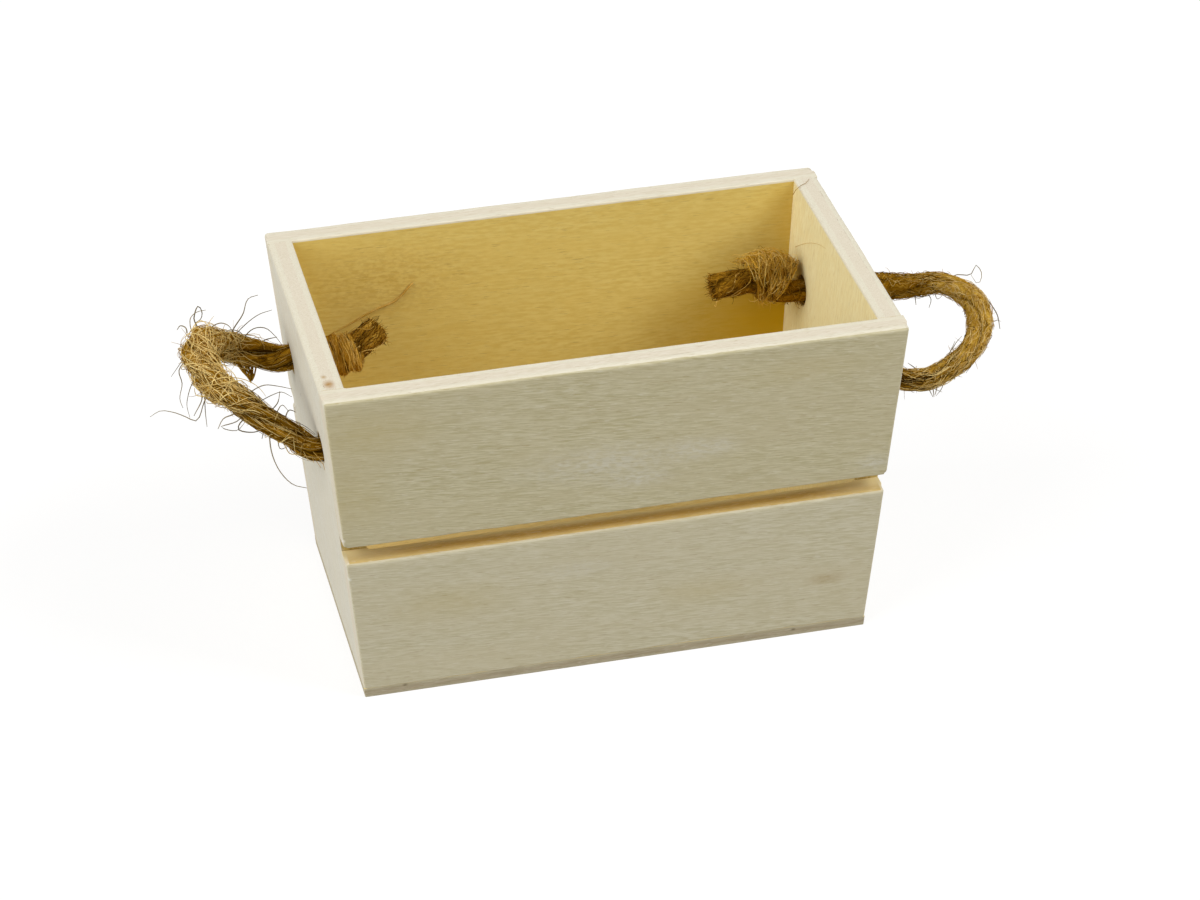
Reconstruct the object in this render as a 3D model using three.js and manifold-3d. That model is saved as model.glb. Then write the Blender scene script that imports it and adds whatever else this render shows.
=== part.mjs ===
// A small tapered plywood crate with rope handles. Two slats with a gap between them make each long
// side, an end panel stands between the long sides at each end, and a thin base panel closes the
// bottom. A rope passes through two holes in each end panel and ends inside in two tight knots.
// Millimetres, +Z up, +X along the length, origin at the middle of the underside.
import * as THREE from 'three';
import { mergeVertices } from 'three/addons/utils/BufferGeometryUtils.js';
import Module from 'manifold-3d';

const wasm = await Module();
wasm.setup();

// Wooden box
const RIM_LENGTH = 140;
const RIM_WIDTH = 85;
const WALL_LEAN_DEGREES = 4.7;
const WALL_PLY = 6;
const BASE_PLY = 2.7;
const LOWER_SLAT_HEIGHT = 38.2;
const SLAT_GAP = 4.6;
const UPPER_SLAT_HEIGHT = 42.2;
const GLUE_LINE = 0.3;

// Rope handles
const ROPE_DIAMETER = 6.5;
const HOLE_CLEARANCE = 0.4;
const HOLE_SPACING = 43;
const HOLE_HEIGHT = 63.8;
const BEND_GAP = 0.3;
const KNOT_DIAMETER = 12.6;
const KNOT_LENGTH = 10.6;
const WRAP_ROPE_DIAMETER = 4.8;
const WRAP_TURNS = 1.6;
const WRAP_TUCK_SHARE = 0.17;
const WRAP_TUCKED_RADIUS = 0.6;
const LEFT_SLACK = 1.8;
const RIGHT_SLACK = 3.6;

// Routes of the two loops outside the box, as distance out from the panel, along the panel and up it.
// A loop starts and ends at the bends just outside its two holes, each off its hole's axis by a drift
// along the panel, and its points lie between them.
const LEFT_LOOP = {
  drifts: [-1.0, -0.3],
  points: [
    [6.0, 18.8, 2.8],
    [10.4, 15.2, 5.8],
    [15.1, 10.4, 8.5],
    [19.1, 5.0, 10.8],
    [21.8, -1.2, 12.6],
    [23.0, -8.0, 13.4],
    [22.0, -14.6, 12.8],
    [18.9, -19.6, 10.3],
    [14.2, -22.0, 6.3],
    [8.3, -22.2, 2.4],
  ],
};
const RIGHT_LOOP = {
  drifts: [-0.3, -0.1],
  points: [
    [8.0, -22.0, -1.6],
    [14.0, -21.2, -2.2],
    [19.8, -19.2, -1.6],
    [24.8, -16.0, -0.4],
    [28.9, -11.8, 1.2],
    [31.8, -6.6, 2.8],
    [33.3, -0.6, 4.4],
    [33.2, 5.4, 5.2],
    [31.0, 10.9, 5.1],
    [27.3, 15.2, 4.0],
    [22.0, 18.2, 2.3],
    [15.1, 20.2, 0.9],
    [8.8, 21.2, 0.3],
  ],
};

// Where each knot sits off its hole's axis, and where its cut tail ends: in past the knot's middle,
// along the panel and up it.
const KNOT_PLACES = {
  left_front_knot: { offset: [-0.6, -0.8], tail: [13.0, 2.4, -3.2] },
  left_back_knot: { offset: [1.0, -2.0], tail: [9.4, -3.4, 2.6] },
  right_front_knot: { offset: [1.0, 0.8], tail: [12.6, -2.8, 2.2] },
  right_back_knot: { offset: [2.0, 3.6], tail: [14.2, -1.2, -2.0] },
};

// Facets of the round pieces
const ROPE_SIDES = 12;
const WRAP_SIDES = 10;
const HOLE_SIDES = 28;
const LOOP_STEPS = 36;
const CORE_STEPS = 14;
const WRAP_STEPS = 30;
const BALL_RINGS = 8;
const MERGE_DISTANCE = 1e-4;

// What follows from the sizes above
const lean = THREE.MathUtils.degToRad(WALL_LEAN_DEGREES);
const levelPly = WALL_PLY / Math.cos(lean);
const wallFoot = BASE_PLY + GLUE_LINE;
const lowerSlatTop = wallFoot + LOWER_SLAT_HEIGHT;
const upperSlatFoot = lowerSlatTop + SLAT_GAP;
const rimHeight = upperSlatFoot + UPPER_SLAT_HEIGHT;
const ropeRadius = ROPE_DIAMETER / 2;
const hingeOut = ropeRadius + BEND_GAP;
const wrapRadius = (KNOT_DIAMETER - WRAP_ROPE_DIAMETER) / 2;

// Reach of the solids that cut the panels to shape, well past the box on every side
const pastLength = 2 * RIM_LENGTH;
const pastWidth = 2 * RIM_WIDTH;
const drillLength = 4 * WALL_PLY;

const halfLengthAt = (z) => RIM_LENGTH / 2 - Math.tan(lean) * (rimHeight - z);
const halfWidthAt = (z) => RIM_WIDTH / 2 - Math.tan(lean) * (rimHeight - z);

// Directions of a cross section: across and up the sheet, then the way it is extruded.
const ALONG_LENGTH = new THREE.Matrix4().makeBasis(
  new THREE.Vector3(0, 1, 0), new THREE.Vector3(0, 0, 1), new THREE.Vector3(1, 0, 0));
const ALONG_WIDTH = new THREE.Matrix4().makeBasis(
  new THREE.Vector3(1, 0, 0), new THREE.Vector3(0, 0, 1), new THREE.Vector3(0, -1, 0));

function solidOf(geometry) {
  const bare = geometry.clone();
  bare.deleteAttribute('normal');
  bare.deleteAttribute('uv');
  const merged = mergeVertices(bare, MERGE_DISTANCE);
  return new wasm.Manifold(new wasm.Mesh({
    numProp: 3,
    vertProperties: new Float32Array(merged.attributes.position.array),
    triVerts: new Uint32Array(merged.index.array),
  }));
}

function geometryOf(solid) {
  const mesh = solid.getMesh();
  const geometry = new THREE.BufferGeometry();
  geometry.setAttribute('position', new THREE.BufferAttribute(mesh.vertProperties, 3));
  geometry.setIndex(new THREE.BufferAttribute(mesh.triVerts, 1));
  geometry.computeVertexNormals();
  return geometry;
}

// A prism of the outline, centred on the origin along the way it is extruded.
function prism(outline, depth, directions) {
  const shape = new THREE.Shape(outline.map(([across, up]) => new THREE.Vector2(across, up)));
  const geometry = new THREE.ExtrudeGeometry(shape, { depth, bevelEnabled: false });
  geometry.translate(0, 0, -depth / 2);
  geometry.applyMatrix4(directions);
  return solidOf(geometry);
}

// The space between two leaning planes, set in from the outer faces by inset, taller than the box.
function taperedSpace(halfSizeAt, inset, depth, directions) {
  const low = -WALL_PLY;
  const high = rimHeight + WALL_PLY;
  return prism([
    [-halfSizeAt(low) + inset, low],
    [halfSizeAt(low) - inset, low],
    [halfSizeAt(high) - inset, high],
    [-halfSizeAt(high) + inset, high],
  ], depth, directions);
}

// A leaning wall from foot to top, on the side of the box that side gives as +1 or -1.
function leaningWall(halfSizeAt, side, foot, top, depth, directions) {
  const outline = [
    [side * halfSizeAt(foot), foot],
    [side * halfSizeAt(top), top],
    [side * (halfSizeAt(top) - levelPly), top],
    [side * (halfSizeAt(foot) - levelPly), foot],
  ];
  return prism(side > 0 ? outline : outline.reverse(), depth, directions);
}

function slat(side, foot, top) {
  const wall = leaningWall(halfWidthAt, side, foot, top, pastLength, ALONG_LENGTH);
  return wall.intersect(taperedSpace(halfLengthAt, 0, pastWidth, ALONG_WIDTH));
}

function basePanel() {
  const sheet = prism([
    [-RIM_LENGTH, 0],
    [RIM_LENGTH, 0],
    [RIM_LENGTH, BASE_PLY],
    [-RIM_LENGTH, BASE_PLY],
  ], pastWidth, ALONG_WIDTH);
  return sheet
    .intersect(taperedSpace(halfLengthAt, 0, pastWidth, ALONG_WIDTH))
    .intersect(taperedSpace(halfWidthAt, 0, pastLength, ALONG_LENGTH));
}

// The middle of a handle's holes on the outer face of its end panel, with +X square out of the panel
// and +Z up it. side is +1 at the right end and -1 at the left.
function handlePlace(side) {
  const place = new THREE.Group();
  place.position.set(side * halfLengthAt(HOLE_HEIGHT), 0, HOLE_HEIGHT);
  place.rotation.set(0, lean, side > 0 ? 0 : Math.PI, 'ZYX');
  place.updateMatrix();
  return place;
}

function endPanel(side) {
  let panel = leaningWall(halfLengthAt, side, wallFoot, rimHeight, pastWidth, ALONG_WIDTH);
  panel = panel.intersect(taperedSpace(halfWidthAt, levelPly + GLUE_LINE, pastLength, ALONG_LENGTH));
  for (const along of [-HOLE_SPACING / 2, HOLE_SPACING / 2]) {
    const radius = ropeRadius + HOLE_CLEARANCE;
    const drill = new THREE.CylinderGeometry(radius, radius, drillLength, HOLE_SIDES);
    drill.rotateZ(Math.PI / 2);
    drill.translate(0, along, 0);
    drill.applyMatrix4(handlePlace(side).matrix);
    panel = panel.subtract(solidOf(drill));
  }
  return panel;
}

// A round tube along a curve, with flat ends.
function tube(curve, radius, sides, steps) {
  const ring = [];
  for (let i = 0; i < sides; i += 1) {
    const angle = (2 * Math.PI * i) / sides;
    ring.push(new THREE.Vector2(radius * Math.cos(angle), radius * Math.sin(angle)));
  }
  const section = new THREE.Shape(ring);
  return new THREE.ExtrudeGeometry(section, { steps, extrudePath: curve, bevelEnabled: false });
}

const pointOf = ([out, along, up]) => new THREE.Vector3(out, along, up);

// The loop outside the panel, from hole to hole. Each end is a ball about the line that it swings on.
function ropeLoop({ drifts, points }) {
  const half = (Math.sign(points[0][1]) * HOLE_SPACING) / 2;
  const start = [hingeOut, half + drifts[0], 0];
  const end = [hingeOut, -half + drifts[1], 0];
  const curve = new THREE.CatmullRomCurve3([start, ...points, end].map(pointOf), false, 'centripetal');
  let loop = solidOf(tube(curve, ropeRadius, ROPE_SIDES, LOOP_STEPS));
  for (const place of [start, end]) {
    const ball = new THREE.SphereGeometry(ropeRadius, ROPE_SIDES, BALL_RINGS);
    ball.translate(...place);
    loop = loop.add(solidOf(ball));
  }
  return loop;
}

// The turns that the knot wraps about its core, as a helix along the knot whose two ends tuck into it.
class KnotWrap extends THREE.Curve {
  constructor(middle) {
    super();
    this.middle = middle;
  }

  getPoint(t, target = new THREE.Vector3()) {
    const clear = Math.min(1, t / WRAP_TUCK_SHARE, (1 - t) / WRAP_TUCK_SHARE);
    const rise = Math.sin((clear * Math.PI) / 2);
    const radius = WRAP_TUCKED_RADIUS + (wrapRadius - WRAP_TUCKED_RADIUS) * rise;
    const angle = 2 * Math.PI * WRAP_TURNS * t;
    const along = (KNOT_LENGTH - WRAP_ROPE_DIAMETER) * (0.5 - t);
    return target.set(along, radius * Math.cos(angle), radius * Math.sin(angle)).add(this.middle);
  }
}

// One end of a rope inside the box: its stretch through the hole, the knot and the cut tail.
function ropeKnot(hole, slack, { offset, tail }) {
  const knotFace = -WALL_PLY - slack;
  const middle = new THREE.Vector3(knotFace - KNOT_LENGTH / 2, hole + offset[0], offset[1]);
  const core = new THREE.CatmullRomCurve3([
    new THREE.Vector3(0, hole, 0),
    new THREE.Vector3(knotFace / 2, hole, 0),
    new THREE.Vector3(knotFace, hole, 0),
    middle,
    new THREE.Vector3(middle.x - tail[0], middle.y + tail[1], middle.z + tail[2]),
  ], false, 'centripetal');
  const wrap = tube(new KnotWrap(middle), WRAP_ROPE_DIAMETER / 2, WRAP_SIDES, WRAP_STEPS);
  return solidOf(tube(core, ropeRadius, ROPE_SIDES, CORE_STEPS)).add(solidOf(wrap));
}

const FRONT_WOOD = { color: 0xcfc7a6, roughness: 0.72, metalness: 0 };
const END_WOOD = { color: 0xddd7c2, roughness: 0.7, metalness: 0 };
const BASE_WOOD = { color: 0xc9b08a, roughness: 0.75, metalness: 0 };
const JUTE = { color: 0x8a6a36, roughness: 0.95, metalness: 0 };

const crate = new THREE.Group();

function addPiece(parent, name, solid, finish) {
  const mesh = new THREE.Mesh(geometryOf(solid), new THREE.MeshStandardMaterial(finish));
  mesh.name = name;
  parent.add(mesh);
}

addPiece(crate, 'base_panel', basePanel(), BASE_WOOD);
addPiece(crate, 'left_end_panel', endPanel(-1), END_WOOD);
addPiece(crate, 'right_end_panel', endPanel(1), END_WOOD);
addPiece(crate, 'front_upper_slat', slat(-1, upperSlatFoot, rimHeight), FRONT_WOOD);
addPiece(crate, 'front_lower_slat', slat(-1, wallFoot, lowerSlatTop), FRONT_WOOD);
addPiece(crate, 'back_upper_slat', slat(1, upperSlatFoot, rimHeight), FRONT_WOOD);
addPiece(crate, 'back_lower_slat', slat(1, wallFoot, lowerSlatTop), FRONT_WOOD);

// In a handle's own directions the front hole is at plus along on the left end, at minus on the right.
const handles = [
  { name: 'left', side: -1, route: LEFT_LOOP, slack: LEFT_SLACK },
  { name: 'right', side: 1, route: RIGHT_LOOP, slack: RIGHT_SLACK },
];
for (const { name, side, route, slack } of handles) {
  const handle = handlePlace(side);
  addPiece(handle, `${name}_rope_loop`, ropeLoop(route), JUTE);
  for (const [end, towards] of [['front', -1], ['back', 1]]) {
    const knotName = `${name}_${end}_knot`;
    const hole = (side * towards * HOLE_SPACING) / 2;
    addPiece(handle, knotName, ropeKnot(hole, slack, KNOT_PLACES[knotName]), JUTE);
  }
  crate.add(handle);
}

export default crate;
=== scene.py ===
import math

import bmesh
import bpy
import numpy as np
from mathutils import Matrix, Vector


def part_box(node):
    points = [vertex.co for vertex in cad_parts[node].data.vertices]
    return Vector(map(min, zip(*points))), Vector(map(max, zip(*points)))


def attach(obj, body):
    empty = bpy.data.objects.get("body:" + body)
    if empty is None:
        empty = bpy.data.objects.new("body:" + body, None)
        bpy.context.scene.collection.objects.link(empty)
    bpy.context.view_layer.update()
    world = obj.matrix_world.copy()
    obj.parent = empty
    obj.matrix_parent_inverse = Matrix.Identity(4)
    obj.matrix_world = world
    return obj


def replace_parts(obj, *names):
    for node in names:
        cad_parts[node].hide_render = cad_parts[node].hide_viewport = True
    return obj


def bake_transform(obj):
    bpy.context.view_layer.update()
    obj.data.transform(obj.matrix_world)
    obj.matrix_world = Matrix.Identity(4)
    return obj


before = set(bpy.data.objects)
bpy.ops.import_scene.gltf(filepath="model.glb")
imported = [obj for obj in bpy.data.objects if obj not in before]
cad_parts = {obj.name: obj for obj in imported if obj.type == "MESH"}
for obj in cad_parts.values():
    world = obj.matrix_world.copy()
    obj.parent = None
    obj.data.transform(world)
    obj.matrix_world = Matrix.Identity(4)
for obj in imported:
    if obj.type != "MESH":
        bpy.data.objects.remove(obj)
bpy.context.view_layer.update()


# Base panel
# A thin sheet of three-ply under the crate, glued to the feet of its four walls. It is sawn to their
# outline and left bare, so a strip of its edge shows below the lower slats, a little pinker than they are.
WALL_LEAN = math.radians(4.7)
BASE_ARRIS = 0.00022
BASE_STEP = 0.003
SEAM_MERGE = 0.000002
ARRIS_LINES = np.array([0, 0.06, 0.16, 0.3, 0.5, 0.75, 1, 1.6])
WANDER_CUTS = np.array([1, 1.9, 3.4, 6.2, 11])
WANDER_HEIGHTS = np.array([0.4, 0.3, 0.2, 0.14, 0.1])
ANY_TURN = (0, 7)
# Figures of the grain by length and width, and the sizes of its clouds, its chips and its relief.
HAIR_GRAIN = (0.0042, 0.00024)
STREAK_GRAIN = (0.010, 0.0006)
BAND_GRAIN = (0.06, 0.006)
RIPPLE_GRAIN = (0.0030, 0.0006)
PORE_GRAIN = (0.0034, 0.00026)
FLECK_GRAIN = (0.0022, 0.00030)
GLUE_GRAIN = (0.012, 0.004)
CLOUD_CELL = (0.021, 0.021, 0.017)
CHIP_CELL = (0.0016, 0.0016, 0.0007)
GRAIN_RELIEF = 0.00012
# Where the plies change, as shares of a board's thickness from its outer face.
FACE_END = (0.03, 0.004)
CORE_START = (0.25, 0.31)
CORE_END = (0.75, 0.69)
GLUE_PLACE = 0.27
INSIDE_START = (0.975, 0.997)
# Each veneer has a light, a dark and a clouded colour, and a sawn edge has those of its plies and its core.
SAWN = (("#dcc486", "#c8aa66", "#d0b470"), ("#d4b266", "#b6944c", "#c0a058"))
GLUE_LINE = "#94704a"
PORE = "#a98a4c"
FLECK = "#f4efdf"
BASE_FACE = ("#d9cba6", "#c7b68c", "#cfbe96")
BASE_INSIDE = ("#f6e6ac", "#e8d290", "#eeda9c")
BASE_EDGE = ("#d3caac", "#bdb190", "#c8bc9c")
BASE_CORE = ("#ccc0a4", "#b3a586", "#bfb092")
BASE_SHIFT = (0.31, 0.12, 0.07)
# A mark is a centre, half sizes, a colour, a strength and the part of it that is broken up.
BASE_MARKS = [
    ((-0.0529, -0.0356, 0.0022), (0.0010, 0.002, 0.0006), "#5c4c34", 0.8, 0.4),
    ((0.0446, -0.0356, 0.0018), (0.0009, 0.002, 0.0006), "#5c4c34", 0.85, 0.4),
]

rim_low, rim_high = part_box("front_upper_slat")
base_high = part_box("base_panel")[1]


def half_length(height):
    """Half the crate's outer length at a height: the end faces lean out evenly up to the rim."""
    return rim_high.x - math.tan(WALL_LEAN) * (rim_high.z - height)


def half_width(height):
    """Half the crate's outer width at a height: the long sides lean out evenly up to the rim."""
    return -rim_low.y - math.tan(WALL_LEAN) * (rim_high.z - height)


def grid_quads(rows, columns, start):
    """Corner numbers of the quads between neighbours in a grid of points, counted from the start."""
    number = np.arange(rows * columns).reshape(rows, columns) + start
    corners = [number[:-1, :-1], number[1:, :-1], number[1:, 1:], number[:-1, 1:]]
    return np.stack(corners, -1).reshape(-1, 4)


def board_lines(half, step, arris, extra=()):
    """Grid lines over one size of a board: close together over its two arrises, evenly spaced between."""
    near = arris * ARRIS_LINES
    count = max(2, round(2 * (half - near[-1]) / step))
    middle = np.linspace(near[-1] - half, half - near[-1], count + 1)[1:-1]
    return np.unique(np.concatenate([near - half, middle, half - near, extra]))


def board_sides(lines):
    """The six sides of a box, each a grid over two of its three sets of lines at an end of the third."""
    points = []
    quads = []
    count = 0
    for axis in range(3):
        first, second = [other for other in range(3) if other != axis]
        one, two = np.meshgrid(lines[first], lines[second], indexing="ij")
        for end in (0, -1):
            side = np.empty(one.shape + (3,))
            side[..., axis] = lines[axis][end]
            side[..., first] = one
            side[..., second] = two
            points.append(side.reshape(-1, 3))
            quads.append(grid_quads(*one.shape, count))
            count += one.size
    return np.concatenate(points), np.concatenate(quads)


def unit(vectors):
    """The vectors, each made 1 long."""
    return vectors / np.maximum(np.linalg.norm(vectors, axis=-1, keepdims=True), 1e-12)


def ease_arrises(points, half, radius):
    """Rounds a box's edges: each point moves to the skin that lies one radius off a box that is smaller
    all round by that radius. A radius of 0 along an axis leaves the edges across it sharp."""
    core = np.clip(points, radius - half, half - radius)
    return core + unit(points - core) * radius.max(axis=1, keepdims=True)


def wander(seed, place, longest):
    """A slow wander along a line, about -1 to 1: five sines, each shorter than the last, by chance phases."""
    chance = np.random.default_rng(seed)
    waves = longest / WANDER_CUTS
    sines = np.sin(2 * np.pi * place[..., None] / waves + chance.uniform(*ANY_TURN, len(WANDER_CUTS)))
    return (WANDER_HEIGHTS * sines).sum(-1)


def new_piece(name, points, faces, finish, merge=False, **kept):
    """A mesh object at the origin from corner points and faces. Each named array is kept as an attribute of
    the points. Where its grids meet, doubled points are merged and the faces turned outwards."""
    mesh = bpy.data.meshes.new(name)
    mesh.from_pydata(points.tolist(), [], faces)
    for key, values in kept.items():
        kind, field = ("FLOAT_VECTOR", "vector") if values.ndim == 2 else ("FLOAT", "value")
        mesh.attributes.new(key, kind, "POINT").data.foreach_set(field, values.astype(np.float32).ravel())
    if merge:
        shell = bmesh.new()
        shell.from_mesh(mesh)
        bmesh.ops.remove_doubles(shell, verts=shell.verts, dist=SEAM_MERGE)
        bmesh.ops.recalc_face_normals(shell, faces=shell.faces)
        shell.to_mesh(mesh)
        shell.free()
    mesh.shade_smooth()
    mesh.materials.append(finish)
    piece = bpy.data.objects.new(name, mesh)
    bpy.context.scene.collection.objects.link(piece)
    return piece


def tint(code):
    """The linear colour of a hex code."""
    shares = [int(code[i:i + 2], 16) / 255 for i in (1, 3, 5)]
    return tuple(c / 12.92 if c <= 0.04045 else ((c + 0.055) / 1.055) ** 2.4 for c in shares) + (1.0,)


def new_finish(name, specular, roughness=0.5):
    """A material with its node tree and its shader, with one specular level and roughness all over."""
    finish = bpy.data.materials.new(name)
    finish.use_nodes = True
    skin = finish.node_tree.nodes["Principled BSDF"]
    skin.inputs["Specular IOR Level"].default_value = specular
    skin.inputs["Roughness"].default_value = roughness
    return finish, finish.node_tree, skin


def add_node(tree, kind, inputs, output=0, **settings):
    """Adds a shader node, sets or links its inputs and returns one of its outputs."""
    node = tree.nodes.new("ShaderNode" + kind)
    for key, value in settings.items():
        setattr(node, key, value)
    for key, value in inputs.items():
        if isinstance(value, bpy.types.NodeSocket):
            tree.links.new(value, node.inputs[key])
        else:
            node.inputs[key].default_value = value
    return node.outputs[output]


def kept_value(tree, name, output="Fac"):
    """An attribute that the mesh keeps at its points."""
    return add_node(tree, "Attribute", {}, output, attribute_name=name)


def blended(share, first, second):
    """The first colour, giving way to the second as the share goes from 0 to 1. Like the functions below, it
    adds its node to the tree that its first socket is in."""
    return add_node(share.id_data, "Mix", {0: share, 6: first, 7: second}, 2, data_type="RGBA")


def sums(way, first, second=0.0, third=0.0):
    """One step of arithmetic on numbers."""
    return add_node(first.id_data, "Math", {0: first, 1: second, 2: third}, operation=way)


def times(first, second):
    """Two numbers multiplied."""
    return sums("MULTIPLY", first, second)


def weighed(first, second, share):
    """A mean of two numbers that has this share of the second."""
    return sums("MULTIPLY_ADD", first, 1 - share, times(second, share))


def rise(value, low, high, start=0.0, end=1.0):
    """A smooth step from start to end as the value goes from low to high."""
    inputs = {0: value, 1: low, 2: high, 3: start, 4: end}
    return add_node(value.id_data, "MapRange", inputs, interpolation_type="SMOOTHSTEP")


def mottle(place, cell, detail=3.0):
    """Noise whose cells have the sizes given along X, Y and Z, in metres."""
    scaled = add_node(place.id_data, "Mapping", {"Vector": place, "Scale": [1 / size for size in cell]})
    inputs = {"Vector": scaled, "Scale": 1.0, "Detail": detail, "Roughness": 0.55}
    return add_node(place.id_data, "TexNoise", inputs, "Fac")


def patch(place, centre, size):
    """1 at the centre of an ellipsoid of those half sizes, falling smoothly to 0 at its skin."""
    shift = [-c / s for c, s in zip(centre, size)]
    inputs = {"Vector": place, "Location": shift, "Scale": [1 / s for s in size]}
    off = add_node(place.id_data, "Mapping", inputs)
    away = add_node(place.id_data, "VectorMath", {0: off}, "Value", operation="LENGTH")
    return rise(away, 1.0, 0.0)


def bare_plywood(name, grain, face, inside, edge, core, sawn, shift, glue_show=0.35, marks=(),
                 marks_inside=False, turn=0.0):
    """Sanded bare plywood. Fine streaks are noise drawn out along the grain, over slow clouds. The share of
    the thickness that each point keeps as 'across' picks the outer veneer, the plies of the edge or the
    inner veneer, 'raw' gives the sawn edges their darker gold, and each mark is a soft patch of another
    colour, part of it broken up into chips. Some marks are painted shade or painted light."""
    finish, tree, skin = new_finish(name, 0.15)
    object_place = add_node(tree, "TexCoord", {}, "Object")
    place = add_node(tree, "Mapping", {"Vector": object_place, "Location": shift, "Rotation": (0, turn, 0)})

    def drawn(shape, detail=3.0):
        """Noise with cells of a length along the grain and a width across it."""
        length, width = shape
        return mottle(place, [length if axis == grain else width for axis in "XYZ"], detail)

    streak = drawn(STREAK_GRAIN)
    figure = weighed(drawn(HAIR_GRAIN, 2.0), streak, 0.28)
    inner_figure = weighed(drawn(RIPPLE_GRAIN), streak, 0.35)
    cloud = mottle(place, CLOUD_CELL, 2.0)
    shade = rise(weighed(drawn(BAND_GRAIN), cloud, 0.4), 0.3, 0.7)
    across = kept_value(tree, "across")
    pores = rise(drawn(PORE_GRAIN, 1.0), 0.64, 0.74)
    flecks = rise(drawn(FLECK_GRAIN, 1.0), 0.60, 0.72)
    flecks = times(flecks, rise(across, 0.9, 0.6))

    def veneer(light, dark, clouded, streaked=figure):
        """A veneer's colour: dark to light with the streaks, and towards a third colour in the clouds."""
        grained = blended(rise(streaked, 0.36, 0.64), tint(dark), tint(light))
        return blended(times(shade, 0.6), grained, tint(clouded))

    waver = sums("MULTIPLY_ADD", streak, 0.10, sums("SUBTRACT", across, 0.05))
    in_core = times(rise(waver, *CORE_START), rise(waver, *CORE_END))
    sanded = blended(in_core, veneer(*edge), veneer(*core))
    rough_cut = blended(in_core, veneer(*sawn[0]), veneer(*sawn[1]))
    colour = blended(kept_value(tree, "raw"), sanded, rough_cut)
    off_glue = sums("ABSOLUTE", sums("SUBTRACT", waver, GLUE_PLACE))
    patchy = rise(drawn(GLUE_GRAIN, 2.0), 0.54, 0.68)
    glue = times(rise(off_glue, 0.03, 0.0), patchy)
    colour = blended(times(glue, glue_show), colour, tint(GLUE_LINE))
    colour = blended(rise(across, *FACE_END), colour, veneer(*face))
    colour = blended(rise(across, *INSIDE_START), colour, veneer(*inside, inner_figure))
    colour = blended(times(pores, 0.3), colour, tint(PORE))
    colour = blended(times(flecks, 0.3), colour, tint(FLECK))
    chips = rise(mottle(place, CHIP_CELL, 4.0), 0.42, 0.60, 0.2, 1.0)
    for centre, size, code, strength, broken in marks:
        shown = sums("MULTIPLY_ADD", chips, broken * strength, (1 - broken) * strength)
        share = times(patch(object_place, centre, size), shown)
        if marks_inside:
            share = times(share, rise(across, 0.95, 0.99))
        colour = blended(share, colour, tint(code))
    tree.links.new(colour, skin.inputs["Base Color"])
    tree.links.new(rise(figure, 0.2, 0.8, 0.72, 0.55), skin.inputs["Roughness"])
    height = sums("SUBTRACT", figure, times(pores, 0.5))
    bump = add_node(tree, "Bump", {"Strength": 0.4, "Distance": GRAIN_RELIEF, "Height": height}, "Normal")
    tree.links.new(bump, skin.inputs["Normal"])
    return finish


base_half = np.array([half_length(base_high.z), half_width(base_high.z), base_high.z / 2])
base_lines = [board_lines(size, BASE_STEP, BASE_ARRIS) for size in base_half]
base_points, base_quads = board_sides(base_lines)
base_across = np.clip(0.5 + base_points[:, 2] / base_high.z, 0, 1)
base_points = ease_arrises(base_points, base_half, np.full(base_points.shape, BASE_ARRIS))
base_points[:, 2] += base_half[2]
base_points[:, 0] *= half_length(base_points[:, 2]) / base_half[0]
base_points[:, 1] *= half_width(base_points[:, 2]) / base_half[1]
base_finish = bare_plywood("base_plywood", "X", BASE_FACE, BASE_INSIDE, BASE_EDGE, BASE_CORE, SAWN,
                           BASE_SHIFT, marks=BASE_MARKS)
base_board = new_piece("base_board", base_points, base_quads.tolist(), base_finish, True, across=base_across,
                       raw=np.zeros(len(base_points)))
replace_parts(base_board, "base_panel")
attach(base_board, "box")


# End panels
# Two leaning boards of 6 mm three-ply with upright grain, glued between the ends of the long sides.
# Each has two drilled holes for its rope. Their rims are sanded round, and their upright sides are sharp.
WALL_PLY = 0.006
RIM_ARRIS = 0.00095
INNER_ARRIS = 0.0004
SEAM_ARRIS = 0.00004
ARRIS_WANDER = 0.25
PANEL_ARRIS_WAVE = 0.05
BOARD_STEP = 0.0022
FACE_RIPPLE = 0.00003
PANEL_RIPPLE_WAVE = 0.04
PANEL_RIPPLE_SLANT = 0.7
RIM_DEPTH = 1.3 * INNER_ARRIS
RIM_SHARES = (0.04, 0.96)
HOLE_HEIGHT = 0.0638
HOLE_SPACING = 0.043
HOLES = (-HOLE_SPACING / 2, HOLE_SPACING / 2)
HOLE_RADIUS = 0.00365
HOLE_EASE = 0.0003
HOLE_BLOCK = 0.0045
HOLE_REACH = 0.0105
HOLE_RINGS = np.array([0.1, 0.22, 0.38, 0.6, 1])
HOLE_CELLS = 12
EASE_STEPS = 5
BORE_STEPS = 8
BORE_SHARE = 0.5
EDGE_PLY = ("#f1ebd8", "#e5ddc4", "#ebe3cc")
CORE_PLY = ("#efe6d3", "#e1d6bd", "#e8ddc6")
END_FACE = ("#eeeadb", "#e0dac5", "#e8e1cb")
END_SAWN = (("#e0ca88", "#ccb268", "#d4bc74"), ("#d4b66e", "#b4964e", "#bea25a"))
LEFT_MARKS = [
    ((-0.0671, -0.0340, 0.0880), (0.0019, 0.0027, 0.002), "#ae7a18", 0.9, 0.3),
    ((-0.0677, -0.0305, 0.0880), (0.0010, 0.0012, 0.002), "#b8904a", 0.7, 0.3),
    ((-0.0676, 0.0109, 0.0593), (0.002, 0.0007, 0.0008), "#5c4a30", 0.8, 0.4),
]
END_PANELS = {
    "left_end": {"side": -1, "inside": ("#eedd92", "#dfc673", "#e6cf7e"), "shift": (0.11, 0.42, 0.23),
                 "glue_show": 0.8, "marks": LEFT_MARKS, "seed": 11},
    "right_end": {"side": 1, "inside": ("#f6ecbe", "#ecdca4", "#f0e3ae"), "shift": (0.63, 0.27, 0.55),
                  "glue_show": 0.35, "marks": (), "seed": 23},
}

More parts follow.
